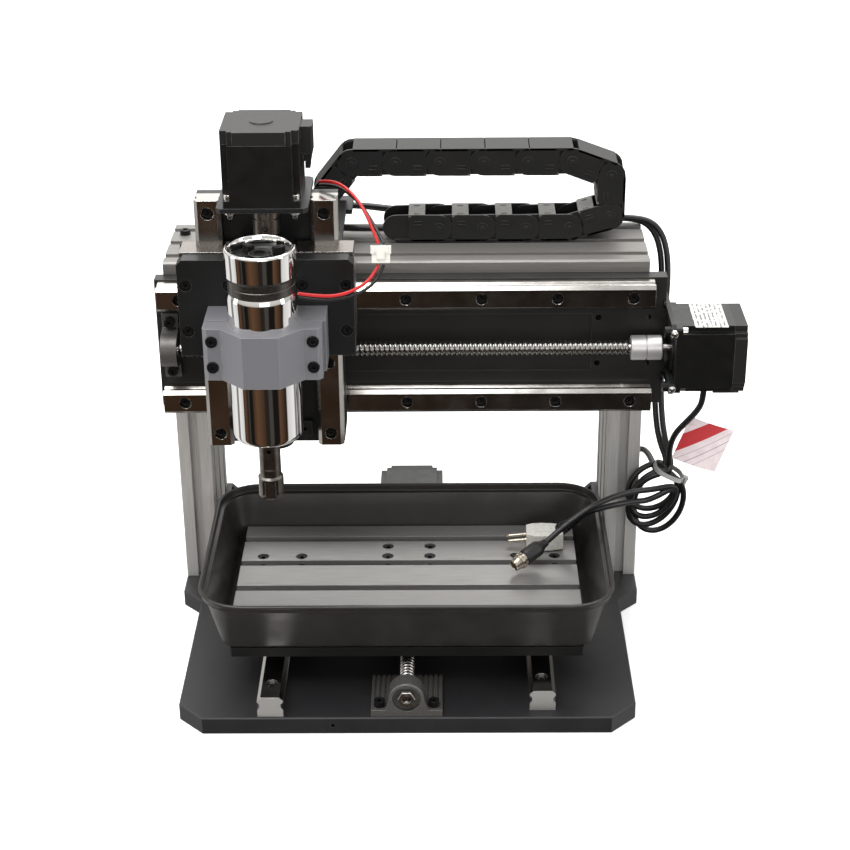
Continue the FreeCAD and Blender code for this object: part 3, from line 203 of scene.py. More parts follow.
# ---------------------------------------------------------------- materials
class Finish:
    """A procedural material: one Principled shader and what feeds its colour, roughness and normal."""

    def __init__(self, name, colour, roughness, metallic=0.0, edge=0.4, **sockets):
        self.material = bpy.data.materials.new(name)
        self.material.use_nodes = True
        self.tree = self.material.node_tree
        self.shader = self.tree.nodes["Principled BSDF"]
        self.colour = self.constant(colour)
        self.shader.inputs["Base Color"].default_value = (*colour, 1.0)
        self.shader.inputs["Roughness"].default_value = roughness
        self.shader.inputs["Metallic"].default_value = metallic
        for socket, value in sockets.items():
            self.shader.inputs[socket.replace("_", " ")].default_value = value
        self.coord = self.tree.nodes.new("ShaderNodeTexCoord").outputs["Object"]
        self.normal = None
        self.bevel = None
        if edge:
            self.bevel = self.tree.nodes.new("ShaderNodeBevel")
            self.bevel.samples = 4
            self.bevel.inputs["Radius"].default_value = edge * MM
            self.set_normal(self.bevel.outputs[0])

    def constant(self, colour):
        node = self.tree.nodes.new("ShaderNodeRGB")
        node.outputs[0].default_value = (*colour, 1.0)
        return node.outputs[0]

    def set_normal(self, socket):
        self.normal = socket
        self.tree.links.new(socket, self.shader.inputs["Normal"])

    def noise(self, size_mm, detail=2.0, stretch=(1.0, 1.0, 1.0), rough=0.5):
        """Noise with features of that size, drawn out along each axis by the stretch."""
        mapping = self.tree.nodes.new("ShaderNodeMapping")
        mapping.inputs["Scale"].default_value = [1.0 / (size_mm * MM * s) for s in stretch]
        self.tree.links.new(self.coord, mapping.inputs[0])
        noise = self.tree.nodes.new("ShaderNodeTexNoise")
        noise.inputs["Scale"].default_value = 1.0
        noise.inputs["Detail"].default_value = detail
        noise.inputs["Roughness"].default_value = rough
        self.tree.links.new(mapping.outputs[0], noise.inputs["Vector"])
        return noise.outputs["Fac"]

    def lines(self, pitch_mm, axis):
        """A sine wave along one axis with that pitch."""
        mapping = self.tree.nodes.new("ShaderNodeMapping")
        mapping.inputs["Scale"].default_value = (1.0 / (pitch_mm * MM),) * 3
        self.tree.links.new(self.coord, mapping.inputs[0])
        wave = self.tree.nodes.new("ShaderNodeTexWave")
        wave.wave_type, wave.bands_direction = "BANDS", axis
        wave.inputs["Scale"].default_value = math.pi / 10.0
        self.tree.links.new(mapping.outputs[0], wave.inputs["Vector"])
        return wave.outputs["Fac"]

    def dot(self, vector, other):
        """The dot product of a vector socket with another socket or a constant."""
        node = self.tree.nodes.new("ShaderNodeVectorMath")
        node.operation = "DOT_PRODUCT"
        self.tree.links.new(vector, node.inputs[0])
        if isinstance(other, bpy.types.NodeSocket):
            self.tree.links.new(other, node.inputs[1])
        else:
            node.inputs[1].default_value = other
        return node.outputs["Value"]

    def tint(self, fac, other, low=0.35, high=0.65):
        """Blends the colour so far towards another one where fac runs from low to high."""
        mix = self.tree.nodes.new("ShaderNodeMix")
        mix.data_type = "RGBA"
        self.tree.links.new(remap(self.tree, fac, low, high, 0.0, 1.0), mix.inputs[0])
        self.tree.links.new(self.colour, mix.inputs[6])
        mix.inputs[7].default_value = (*other, 1.0)
        self.colour = mix.outputs[2]
        self.tree.links.new(self.colour, self.shader.inputs["Base Color"])
        return self

    def roughen(self, fac, low, high):
        self.tree.links.new(remap(self.tree, fac, 0.3, 0.7, low, high), self.shader.inputs["Roughness"])
        return self

    def bump(self, fac, height_mm, strength=1.0):
        node = self.tree.nodes.new("ShaderNodeBump")
        node.inputs["Strength"].default_value = strength
        node.inputs["Distance"].default_value = height_mm * MM
        self.tree.links.new(fac, node.inputs["Height"])
        if self.normal is not None:
            self.tree.links.new(self.normal, node.inputs["Normal"])
        self.set_normal(node.outputs[0])
        return self

    def paint_edge_highlight(self, colour, start=0.985, end=0.86):
        """Lightens the colour along sharp edges: a painted edge highlight."""
        geometry = self.tree.nodes.new("ShaderNodeNewGeometry")
        return self.tint(self.dot(self.bevel.outputs[0], geometry.outputs["Normal"]), colour, start, end)

    def on_ends(self, way, colour, grain):
        """Turns the faces across one axis into a matt cut with its own grain."""
        geometry = self.tree.nodes.new("ShaderNodeNewGeometry")
        size = self.tree.nodes.new("ShaderNodeMath")
        size.operation = "ABSOLUTE"
        self.tree.links.new(self.dot(geometry.outputs["True Normal"], way), size.inputs[0])
        end = remap(self.tree, size.outputs[0], 0.90, 0.97, 0.0, 1.0)
        self.tint(end, colour, 0.0, 1.0)
        self.tree.links.new(remap(self.tree, end, 0.0, 1.0, 0.17, 0.55), self.shader.inputs["Roughness"])
        self.tree.links.new(remap(self.tree, end, 0.0, 1.0, 1.0, 0.25), self.shader.inputs["Metallic"])
        return self.bump(grain, 0.02, 0.5)


def brushed(name, colour, stretch, roughness=0.34, streak=0.6, metallic=0.72):
    """Brushed or extruded aluminium with fine streaks along one axis."""
    f = Finish(name, colour, roughness, metallic, edge=0.35)
    fine = f.noise(streak, 3.0, stretch)
    wide = f.noise(streak * 9.0, 2.0, stretch)
    f.tint(fine, tuple(c * 0.80 for c in colour)).tint(wide, tuple(c * 0.90 for c in colour), 0.4, 0.75)
    f.roughen(fine, roughness - 0.06, roughness + 0.10)
    return f.bump(fine, 0.012, 0.6)


def coated(name, colour, roughness, grain_mm, height_mm, edge_highlight_colour, edge=0.45):
    """A dark coating with a fine grain, with a painted highlight along its edges."""
    f = Finish(name, colour, roughness, 0.0, edge=edge)
    grain = f.noise(grain_mm, 3.0)
    cloud = f.noise(38.0, 3.0)
    f.tint(cloud, tuple(c * 1.22 for c in colour), 0.35, 0.7)
    f.tint(grain, tuple(c * 0.82 for c in colour), 0.4, 0.7)
    f.roughen(cloud, roughness - 0.05, roughness + 0.06)
    # painted highlight along the coating's sharp edges
    f.paint_edge_highlight(edge_highlight_colour)
    return f.bump(grain, height_mm, 0.7)


def make_finishes():
    # Each colour handed to the sharp-edge blend below is a painted edge highlight, lightening every sharp edge.
    along_x, along_z = (60.0, 1.0, 1.0), (1.0, 1.0, 60.0)
    m = {}
    m["base_coat"] = coated("powder_coat", srgb(34, 34, 36), 0.46, 0.7, 0.03, srgb(74, 73, 71))
    m["black_plate"] = coated("black_anodised", srgb(19, 20, 21), 0.42, 0.35, 0.010, srgb(100, 100, 97))
    m["face_plate"] = coated("face_plate_anodised", srgb(33, 32, 30), 0.40, 0.35, 0.010, srgb(96, 94, 89))
    # Near-black paint on the Y carriage plate under the tray: painted shade standing in for the shadow there.
    m["painted_shade_plate"] = coated("painted_shade_black", srgb(9, 9, 9), 0.6, 0.5, 0.010, srgb(40, 40, 39))
    m["column"] = brushed("column_aluminium", (0.68, 0.665, 0.64), along_z, 0.38, 0.6, 0.5)
    m["beam"] = brushed("beam_aluminium", (0.27, 0.26, 0.245), along_x, 0.46, 0.5, 0.6)
    m["table"] = brushed("table_aluminium", (0.46, 0.45, 0.435), along_x, 0.36, 0.45, 0.7)
    m["aluminium"] = brushed("machined_aluminium", (0.58, 0.57, 0.55), (1.0, 1.0, 1.0), 0.36, 0.5)

    f = Finish("rail_steel", (0.50, 0.485, 0.46), 0.19, 1.0, edge=0.35)
    grind = f.noise(0.5, 3.0, (30.0, 30.0, 30.0))
    f.tint(f.noise(55.0, 2.0), (0.38, 0.36, 0.335), 0.4, 0.7).roughen(grind, 0.12, 0.24)
    m["rail_steel"] = f.paint_edge_highlight((0.86, 0.85, 0.83))

    f = Finish("block_steel", (0.30, 0.275, 0.25), 0.28, 1.0, edge=0.35)
    m["block_steel"] = f.roughen(f.noise(0.8, 3.0), 0.22, 0.36).paint_edge_highlight((0.7, 0.68, 0.65))

    f = Finish("screw_steel", (0.56, 0.55, 0.53), 0.20, 1.0, edge=0.0)
    f.tint(f.noise(9.0, 2.0), (0.44, 0.42, 0.40), 0.4, 0.7)
    m["screw_steel"] = f.roughen(f.noise(0.6, 2.0), 0.15, 0.30)

    f = Finish("thread_steel", (0.34, 0.33, 0.315), 0.24, 1.0, edge=0.0)
    m["thread_steel"] = f.roughen(f.noise(1.5, 2.0), 0.20, 0.32)

    f = Finish("nose_steel", (0.27, 0.255, 0.24), 0.30, 1.0, edge=0.2)
    turned = f.noise(1.5, 2.0, (1.0, 1.0, 0.1))
    m["nose_steel"] = f.tint(f.noise(6.0, 2.0), (0.18, 0.165, 0.15)).roughen(turned, 0.26, 0.38)

    f = Finish("sawn_rail_steel", (0.56, 0.545, 0.52), 0.17, 1.0, edge=0.35)
    f.paint_edge_highlight((0.86, 0.85, 0.83))
    saw = f.noise(0.5, 3.0, (1.0, 1.0, 8.0))
    m["sawn_rail_steel"] = f.on_ends((0, 1, 0), (0.30, 0.29, 0.275), saw)

    f = Finish("coupling_aluminium", (0.66, 0.65, 0.64), 0.38, 0.7, edge=0.3)
    m["coupling"] = f.roughen(f.noise(0.4, 2.0, (1.0, 8.0, 8.0)), 0.32, 0.44)

    # The Z coupling's copy of the coupling aluminium, made darker as painted shade.
    f = Finish("coupling_painted_shade", (0.20, 0.175, 0.155), 0.30, 0.9, edge=0.3)
    m["coupling_painted_shade"] = f.roughen(f.noise(0.4, 2.0, (8.0, 8.0, 1.0)), 0.26, 0.38)

    f = Finish("black_oxide", srgb(26, 26, 27), 0.34, 0.55, edge=0.2)
    m["black_screws"] = f.roughen(f.noise(1.2, 2.0), 0.26, 0.44).paint_edge_highlight(srgb(96, 95, 92))

    f = Finish("zinc_screws", (0.78, 0.78, 0.76), 0.22, 1.0, edge=0.15)
    m["zinc"] = f.roughen(f.noise(1.0, 2.0), 0.16, 0.3)

    f = Finish("cast_housing", srgb(100, 98, 95), 0.44, 0.5, edge=0.4)
    cast = f.noise(0.9, 3.0)
    f.tint(cast, srgb(84, 82, 79)).roughen(cast, 0.36, 0.52)
    m["grey_housing"] = f.paint_edge_highlight(srgb(160, 158, 152)).bump(cast, 0.03, 0.6)

    f = Finish("blasted_clamp", srgb(122, 122, 126), 0.52, 0.35, edge=0.5)
    blast = f.noise(0.45, 2.0)
    f.tint(blast, srgb(114, 114, 118), 0.4, 0.7).roughen(blast, 0.46, 0.60)
    m["grey_clamp"] = f.paint_edge_highlight(srgb(176, 176, 180)).bump(blast, 0.015, 0.7)

    f = Finish("motor_lacquer", srgb(11, 11, 11), 0.38, 0.0, edge=0.3)
    f.roughen(f.noise(9.0, 2.0), 0.34, 0.44).paint_edge_highlight(srgb(80, 78, 74))
    m["motor_black"] = f.bump(f.noise(0.5, 2.0), 0.008, 0.5)

    f = Finish("motor_cap_paint", srgb(30, 29, 28), 0.46, 0.1, edge=0.4)
    grain = f.noise(0.5, 2.0)
    f.tint(grain, srgb(26, 25, 24)).roughen(grain, 0.42, 0.52)
    m["motor_grey"] = f.paint_edge_highlight(srgb(120, 117, 110)).bump(grain, 0.012, 0.6)

    f = Finish("chrome", (0.88, 0.87, 0.86), 0.035, 1.0, edge=0.0)
    m["chrome"] = f.roughen(f.noise(14.0, 3.0), 0.02, 0.06)

    f = Finish("neck_band", srgb(92, 88, 84), 0.30, 0.9, edge=0.0)
    m["neck"] = f.roughen(f.noise(0.5, 2.0, (6.0, 6.0, 1.0)), 0.24, 0.4)

    f = Finish("cap_inside", srgb(24, 23, 22), 0.42, 0.2, edge=0.0)
    m["cap_inside"] = f.roughen(f.noise(1.2, 2.0), 0.35, 0.5)

    f = Finish("tray_coating", srgb(52, 50, 48), 0.34, 0.35, edge=0.0)
    cloud = f.noise(26.0, 3.0)
    f.tint(cloud, srgb(46, 44, 42), 0.4, 0.7)
    m["tray_coating"] = f.roughen(cloud, 0.30, 0.38).bump(f.noise(0.8, 2.0), 0.006, 0.5)

    f = Finish("chain_plastic", srgb(18, 18, 18), 0.46, 0.0, edge=0.25)
    skin = f.noise(0.5, 2.0)
    f.tint(f.noise(20.0, 2.0), srgb(22, 21, 21)).roughen(skin, 0.42, 0.52)
    m["chain_plastic"] = f.paint_edge_highlight(srgb(70, 68, 65)).bump(skin, 0.015, 0.6)

    f = Finish("chain_tabs", srgb(118, 116, 111), 0.50, 0.0, edge=0.0)
    m["chain_tabs"] = f.tint(f.noise(3.0, 2.0), srgb(98, 96, 92)).bump(f.noise(0.5, 2.0), 0.015, 0.6)

    f = Finish("cable_jacket", srgb(19, 19, 20), 0.34, 0.0, edge=0.0)
    m["black_cable"] = f.roughen(f.noise(2.5, 2.0), 0.28, 0.44).bump(f.noise(1.2, 2.0), 0.04, 0.4)

    f = Finish("red_wire", srgb(190, 28, 30), 0.36, 0.0, edge=0.0)
    m["red_wire"] = f.roughen(f.noise(1.5, 2.0), 0.3, 0.45)

    f = Finish("black_wire", srgb(24, 24, 25), 0.36, 0.0, edge=0.0)
    m["black_wire"] = f.roughen(f.noise(1.5, 2.0), 0.3, 0.45)

    f = Finish("tie_nylon", srgb(150, 150, 148), 0.45, 0.0, edge=0.0)
    m["tie_plastic"] = f.roughen(f.noise(1.0, 2.0), 0.38, 0.52).bump(f.lines(1.2, "X"), 0.05, 0.3)

    f = Finish("plug_metal", (0.55, 0.50, 0.42), 0.24, 1.0, edge=0.2)
    m["plug_metal"] = f.tint(f.noise(2.0, 3.0), (0.36, 0.31, 0.25)).roughen(f.noise(0.8, 2.0), 0.18, 0.36)

    f = Finish("white_plastic", srgb(226, 224, 216), 0.42, 0.0, edge=0.25, Subsurface_Weight=0.05)
    f.tint(f.noise(3.0, 2.0), srgb(212, 209, 199))
    m["white_plastic"] = f.roughen(f.noise(1.0, 2.0), 0.36, 0.5)

    f = Finish("tag_thread", srgb(216, 212, 204), 0.8, 0.0, edge=0.0)
    m["thread"] = f.bump(f.noise(0.4, 2.0), 0.1, 0.6)

    m["tag_paper"] = tag_finish()
    m["label"] = label_finish()
    return {name: f.material for name, f in m.items()}


TAG_MIDDLE, TAG_TURN, TAG_SIZE = (245.5, 201.5, 147.0), 20.0, (39.0, 41.0)


def tag_finish():
    """Pale pink card with a red band across its upper corner and a few grey ruled lines."""
    f = Finish("tag_card", srgb(226, 212, 212), 0.62, 0.0, edge=0.0)
    f.tint(f.noise(9.0, 3.0), srgb(214, 198, 201))
    turn = math.radians(TAG_TURN)
    across = Vector((math.cos(turn), 0.0, -math.sin(turn))) / (TAG_SIZE[0] * MM)
    upward = Vector((math.sin(turn), 0.0, math.cos(turn))) / (TAG_SIZE[1] * MM)
    way = upward - across
    middle = way.dot(P(*TAG_MIDDLE))
    along = remap(f.tree, f.dot(f.coord, way), middle - 1.0, middle + 1.0, 0.0, 1.0)
    white, black = (1.0, 1.0, 1.0), (0.0, 0.0, 0.0)
    band = [(0.0, black), (0.575, white), (0.79, black)]
    rules = [(0.0, black)]
    for start in (0.27, 0.37, 0.47):
        rules += [(start, white), (start + 0.01, black)]
    for stops, colour in ((band, srgb(190, 34, 40)), (rules, srgb(140, 134, 150))):
        ramp = f.tree.nodes.new("ShaderNodeValToRGB")
        ramp.color_ramp.interpolation = "CONSTANT"
        f.tree.links.new(along, ramp.inputs[0])
        set_ramp(ramp, stops)
        f.tint(ramp.outputs[0], colour, 0.2, 0.8)
    return f


def label_finish():
    """A white sticker with rows of faint grey bars that say nothing."""
    f = Finish("motor_label", srgb(222, 222, 218), 0.5, 0.0, edge=0.0)
    rows = f.lines(3.4, "X")
    gaps = f.noise(2.0, 1.0, (1.0, 2.6, 1.0))
    both = f.tree.nodes.new("ShaderNodeMath")
    both.operation = "MULTIPLY"
    f.tree.links.new(remap(f.tree, rows, 0.52, 0.6, 0.0, 1.0), both.inputs[0])
    f.tree.links.new(remap(f.tree, gaps, 0.44, 0.5, 0.0, 1.0), both.inputs[1])
    return f.tint(both.outputs[0], srgb(112, 112, 110), 0.2, 0.8)


# ---------------------------------------------------------------- mesh building
def new_piece(name, bm, finish, body, replaces=(), angle=34.0):
    """Turns a bmesh into a smooth-shaded piece on a CAD body."""
    bmesh.ops.remove_doubles(bm, verts=bm.verts, dist=1e-6)
    bmesh.ops.recalc_face_normals(bm, faces=bm.faces)
    mesh = bpy.data.meshes.new(name)
    bm.to_mesh(mesh)
    bm.free()
    mesh.materials.append(finishes[finish])
    mesh.shade_smooth()
    mesh.set_sharp_from_angle(angle=math.radians(angle))
    piece = bpy.data.objects.new(name, mesh)
    bpy.context.scene.collection.objects.link(piece)
    if body:
        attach(piece, body)
    if replaces:
        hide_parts(*replaces)
    return piece


def basis(direction, hint=None):
    """A matrix whose Z is the direction and whose X is near the hint."""
    z = Vector(direction).normalized()
    x = Vector(hint) if hint else (Vector((1, 0, 0)) if abs(z.x) < 0.9 else Vector((0, 1, 0)))
    x = (x - z * x.dot(z)).normalized()
    y = z.cross(x)
    return Matrix((x, y, z)).transposed().to_4x4()


def at(origin, direction=(0, 0, 1), hint=None):
    return Matrix.Translation(origin) @ basis(direction, hint)


def bridge(bm, rings):
    """Joins each closed ring of vertices to the next one; a ring of one vertex is a pole."""
    for low, high in zip(rings, rings[1:]):
        count = max(len(low), len(high))
        for k in range(count):
            j = (k + 1) % count
            if len(low) == 1 and len(high) == 1:
                continue
            if len(low) == 1:
                bm.faces.new((low[0], high[k], high[j]))
            elif len(high) == 1:
                bm.faces.new((low[k], low[j], high[0]))
            else:
                bm.faces.new((low[k], low[j], high[j], high[k]))


def add_lathe(bm, profile, place, segments=48, shape=None):
    """Spins (radius, height) pairs in mm round local Z; shape(angle, index) may scale a ring's radius."""
    rings = []
    for index, (radius, height) in enumerate(profile):
        if radius < 1e-6:
            rings.append([bm.verts.new(place @ (Vector((0, 0, height)) * MM))])
            continue
        ring = []
        for k in range(segments):
            turn = 2.0 * math.pi * k / segments
            r = radius * (shape(turn, index) if shape else 1.0)
            ring.append(bm.verts.new(place @ (Vector((r * math.cos(turn), r * math.sin(turn), height)) * MM)))
        rings.append(ring)
    bridge(bm, rings)


def add_outline(bm, outline, low, high, place, bevel=0.0):
    """A flat plate: an outline of (x, y) pairs in mm, from local Z low to high, with its edges broken."""
    part = bmesh.new()
    bottom = [part.verts.new(Vector((x, y, low)) * MM) for x, y in outline]
    top = [part.verts.new(Vector((x, y, high)) * MM) for x, y in outline]
    part.faces.new(list(reversed(bottom)))
    part.faces.new(top)
    for k in range(len(outline)):
        j = (k + 1) % len(outline)
        part.faces.new((bottom[k], bottom[j], top[j], top[k]))
    if bevel:
        sharp = [e for e in part.edges if len(e.link_faces) == 2 and e.calc_face_angle() > math.radians(35)]
        bmesh.ops.bevel(part, geom=sharp, offset=bevel * MM, segments=2, profile=0.7, affect="EDGES",
                        clamp_overlap=True)
    bmesh.ops.transform(part, matrix=place, verts=part.verts)
    merge(bm, part)


def merge(bm, part):
    copies = {v: bm.verts.new(v.co) for v in part.verts}
    for face in part.faces:
        bm.faces.new([copies[v] for v in face.verts])
    part.free()


def add_block(bm, x0, x1, y0, y1, z0, z1, place, bevel=0.4):
    add_outline(bm, [(x0, y0), (x1, y0), (x1, y1), (x0, y1)], z0, z1, place, bevel)


def hexagon(turn):
    """How far a hexagon's side is from its middle, for a corner radius of one."""
    step = math.pi / 3.0
    return math.cos(step / 2.0) / math.cos((turn % step) - step / 2.0)


def hexagonal(first, last):
    """A lathe shape whose rings from first to last are hexagons."""
    return lambda turn, index: hexagon(turn) if first <= index <= last else 1.0


def add_socket_head(bm, top, into, radius=4.2, height=5.0, key=2.2):
    """A socket head screw's head; top is the middle of its face."""
    place = at(top, [-c for c in into])
    profile = [(0.0, -height * 0.62), (key, -height * 0.62), (key, -0.3), (key + 0.3, 0.0),
               (radius - 0.5, 0.0), (radius - 0.1, -0.25), (radius, -0.7), (radius, -height)]
    add_lathe(bm, profile, place, 24, hexagonal(1, 3))


def add_button(bm, top, into, radius=3.0, height=2.0):
    """A small domed screw end."""
    place = at(top, [-c for c in into])
    add_lathe(bm, [(0.0, 0.0), (radius * 0.5, -height * 0.12), (radius * 0.85, -height * 0.42),
                   (radius, -height)], place, 20)


# ---------------------------------------------------------------- cables
def smooth_route(points):
    """The points in metres along the NURBS spline that a route's control points make."""
    curve = bpy.data.curves.new("route", "CURVE")
    curve.dimensions = "3D"
    spline = curve.splines.new("NURBS")
    spline.points.add(len(points) - 1)
    for point, place in zip(spline.points, points):
        point.co = (*place, 1.0)
    spline.order_u = 3
    spline.use_endpoint_u = True
    spline.resolution_u = 10
    holder = bpy.data.objects.new("route", curve)
    bpy.context.scene.collection.objects.link(holder)
    mesh = bpy.data.meshes.new_from_object(holder)
    line = [v.co.copy() for v in mesh.vertices]
    bpy.data.objects.remove(holder)
    bpy.data.meshes.remove(mesh)
    bpy.data.curves.remove(curve)
    return line


def tube_mesh(line, radius, sides=14, closed=True):
    """A round tube along a line, with flat caps on its ends when closed."""
    bm = bmesh.new()
    heading = (line[1] - line[0]).normalized()
    side = heading.orthogonal().normalized()
    rings = []
    for index, point in enumerate(line):
        before, after = line[max(index - 1, 0)], line[min(index + 1, len(line) - 1)]
        new_heading = (after - before).normalized()
        side = (heading.rotation_difference(new_heading) @ side)
        side = (side - new_heading * side.dot(new_heading)).normalized()
        heading = new_heading
        other = heading.cross(side)
        rings.append([bm.verts.new(point + (side * math.cos(2 * math.pi * k / sides)
                                            + other * math.sin(2 * math.pi * k / sides)) * radius)
                      for k in range(sides)])
    for low, high in zip(rings, rings[1:]):
        for k in range(sides):
            j = (k + 1) % sides
            bm.faces.new((low[k], low[j], high[j], high[k]))
    if closed:
        bm.faces.new(list(reversed(rings[0])))
        bm.faces.new(rings[-1])
    return bm


def cord(name, points, diameter_mm, finish, body, replaces, blend=None):
    line = smooth_route([P(*p) for p in points])
    piece = new_piece(name, tube_mesh(line, diameter_mm * MM / 2.0), finish, None if blend else body, replaces,
                      angle=60.0)
    if blend:
        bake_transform(piece)
    return piece


def shifted(points, dx, dy, dz):
    return [(x + dx, y + dy, z + dz) for x, y, z in points]


def loop_points(top, wide, long, lean, layer, next_layer, count=12):
    """Control points of one hanging turn that leaves the top towards the left and comes back to it."""
    points = []
    for k in range(1, count + 1):
        turn = 2.0 * math.pi * k / count
        across, down = -wide * math.sin(turn), -long * (1.0 - math.cos(turn))
        x = across * math.cos(lean) + down * math.sin(lean)
        z = -across * math.sin(lean) + down * math.cos(lean)
        points.append((top[0] + x, layer + (next_layer - layer) * k / count, top[2] + z))
    return points


HARNESS = [(4, 265, 316.4), (-17, 265.2, 316.4), (-41, 265.5, 316.4), (-64, 268.5, 316.6), (-81, 282.5, 317),
           (-82, 304.5, 317.2), (-66.5, 320.5, 317), (-43, 322.5, 316.6), (-14, 314, 316), (20, 302, 315.4),
           (56, 293.5, 315), (100, 290, 315), (146, 290, 315.8), (183, 289, 316.2), (202, 286.5, 313.6),
           (212.5, 279.5, 300.5), (215.5, 268, 275), (212, 257, 236), (210, 245, 197), (210.5, 231, 163),
           (213.5, 220, 142), (217, 211, 124)]
X_MOTOR_LEAD = [(237.5, 163, 217.2), (237.3, 163.5, 205), (234, 170, 193), (228, 182, 178), (221, 194, 162),
                (218, 200, 148), (218, 203.5, 136), (219, 206, 124)]
Y_MOTOR_LEAD = [(37.2, 327, 30), (51, 327, 29.5), (70, 320.5, 24), (100, 309.5, 18.6), (140, 311, 24),
                (172, 313, 48), (191, 312.5, 72), (203, 303, 92), (206, 280, 104), (209, 250, 110), (211, 216.6, 111)]
LEAD_A = [(204, 192, 110), (190, 186, 112), (172, 176, 113), (151, 163, 110), (134, 158, 99), (122, 152, 91.5),
          (114, 146.5, 86.5)]
LEAD_B = [(202, 191.5, 100), (188, 184, 103), (172, 174, 105.5), (158, 168.5, 105), (149, 169, 102),
          (142, 169.5, 96.5)]
RED_UPPER = [(-62, 132, 402), (-54, 126, 404.5), (-44, 115, 405), (-33, 103, 399), (-23.5, 91, 386),
             (-17.3, 80.9, 371.9)]
BLACK_UPPER = [(-62, 134, 398.5), (-53, 129, 400.5), (-43, 118, 400.5), (-30.5, 105, 394), (-20, 92, 382),
               (-13.3, 80.9, 371.9)]
RED_LOWER = [(-17.3, 75.1, 357.6), (-21, 71, 350.5), (-31, 64, 344), (-45, 57, 341), (-60, 51, 343),
             (-74.2, 46.8, 347)]
BLACK_LOWER = [(-13.3, 75.1, 357.6), (-17, 71.5, 348.5), (-28, 65, 340.5), (-44, 58, 337.5), (-60, 52, 339),
               (-74.0, 48.6, 343)]
TIE_TOP = (220.0, 206.0, 119.0)
LEAD_DIAMETER, WIRE_DIAMETER = 5.0, 2.4


def make_cords(plug_a, plug_b):
    """Two leads run from the chain to the bundle, wind round it, and go on to their plugs."""
    lean = math.radians(30.0)
    turns_a = (loop_points(TIE_TOP, 19.0, 27.5, lean, 200.0, 206.0)
               + loop_points(TIE_TOP, 16.0, 23.5, lean + 0.12, 206.0, 196.0)[:-1])
    turns_b = (loop_points(TIE_TOP, 20.5, 29.5, lean - 0.22, 212.0, 201.5)
               + loop_points(TIE_TOP, 16.5, 21.5, lean + 0.30, 218.0, 194.0)[:-1])
    route_a = shifted(HARNESS[:-1], 2.3, -2.7, 1.2) + [(222, 203, 123)] + turns_a + LEAD_A
    route_b = shifted(HARNESS[:-1], -2.3, 2.8, -1.2) + [(219, 213, 124)] + turns_b + LEAD_B
    cord("lead_a_cable", route_a, LEAD_DIAMETER, "black_cable", "frame",
         ("harness_cable", "lead_a", "cable_hank"),
         ("frame", "y_carriage", P(198, 180, 110), P(122, 180, 110)))
    cord("lead_b_cable", route_b, LEAD_DIAMETER, "black_cable", "frame",
         ("lead_b",),
         ("frame", "y_carriage", P(198, 180, 110), P(148, 180, 110)))
    cord("x_motor_cable", X_MOTOR_LEAD, LEAD_DIAMETER, "black_cable", "frame",
         ("x_motor_lead",))
    cord("y_motor_cable", Y_MOTOR_LEAD, LEAD_DIAMETER, "black_cable", "frame",
         ("y_motor_lead",))
    upper = ("x_carriage", "z_carriage", P(-62, 132, 402), P(-15, 81, 372))
    cord("red_wire_upper", RED_UPPER, WIRE_DIAMETER, "red_wire", None, ("red_lead",),
         upper)
    cord("black_wire_upper", BLACK_UPPER, WIRE_DIAMETER, "black_wire", None, ("black_lead",),
         upper)
    cord("red_wire_lower", RED_LOWER, WIRE_DIAMETER, "red_wire", "z_carriage", ())
    cord("black_wire_lower", BLACK_LOWER, WIRE_DIAMETER, "black_wire", "z_carriage", ())


# ---------------------------------------------------------------- pieces
def add_thread(bm, start, direction, length, radius=6.0, pitch=4.0, depth=0.95, sides=28):
    """A ball screw's stretch with one round-bottomed helical groove."""
    place = at(start, direction)
    steps = int(length / (pitch / 10.0))
    half = 0.27
    rings = []
    for i in range(steps + 1):
        along = length * i / steps
        ring = []
        for k in range(sides):
            turn = 2.0 * math.pi * k / sides
            phase = ((along / pitch - k / sides) % 1.0 - 0.5) / half
            r = radius - (depth * math.sqrt(1.0 - phase * phase) if abs(phase) < 1.0 else 0.0)
            ring.append(bm.verts.new(place @ (Vector((r * math.cos(turn), r * math.sin(turn), along)) * MM)))
        rings.append(ring)
    bridge(bm, rings)
    bm.faces.new(list(reversed(rings[0])))
    bm.faces.new(rings[-1])


def add_shaft(bm, start, direction, length, radius):
    profile = [(0.0, 0.0), (radius - 0.4, 0.0), (radius, 0.4), (radius, length - 0.4),
               (radius - 0.4, length), (0.0, length)]
    add_lathe(bm, profile, at(start, direction), 32)


def screw_piece(name, start, direction, journal, thread, tail, shaft, body, replaces):
    """Lengths in mm along the axis: journal, thread, tail, then the motor's shaft after a gap of one."""
    bm = bmesh.new()
    d = Vector(direction)
    add_shaft(bm, start, d, journal + 2.0, 4.0)
    add_thread(bm, start + d * journal * MM, d, thread)
    add_shaft(bm, start + d * (journal + thread - 2.0) * MM, d, tail + 2.0, 4.0)
    add_shaft(bm, start + d * (journal + thread + tail + 1.0) * MM, d, shaft, 3.175)
    return new_piece(name, bm, "thread_steel", body, replaces, angle=50.0)


def coupling_profile(length=25.0, radius=10.0):
    middle = length / 2.0
    return [(4.2, 0.0), (radius - 0.7, 0.0), (radius, 0.7), (radius, middle - 0.5),
            (radius - 1.3, middle - 0.5), (radius - 1.3, middle + 0.5), (radius, middle + 0.5),
            (radius, length - 0.7), (radius - 0.7, length), (3.4, length)]


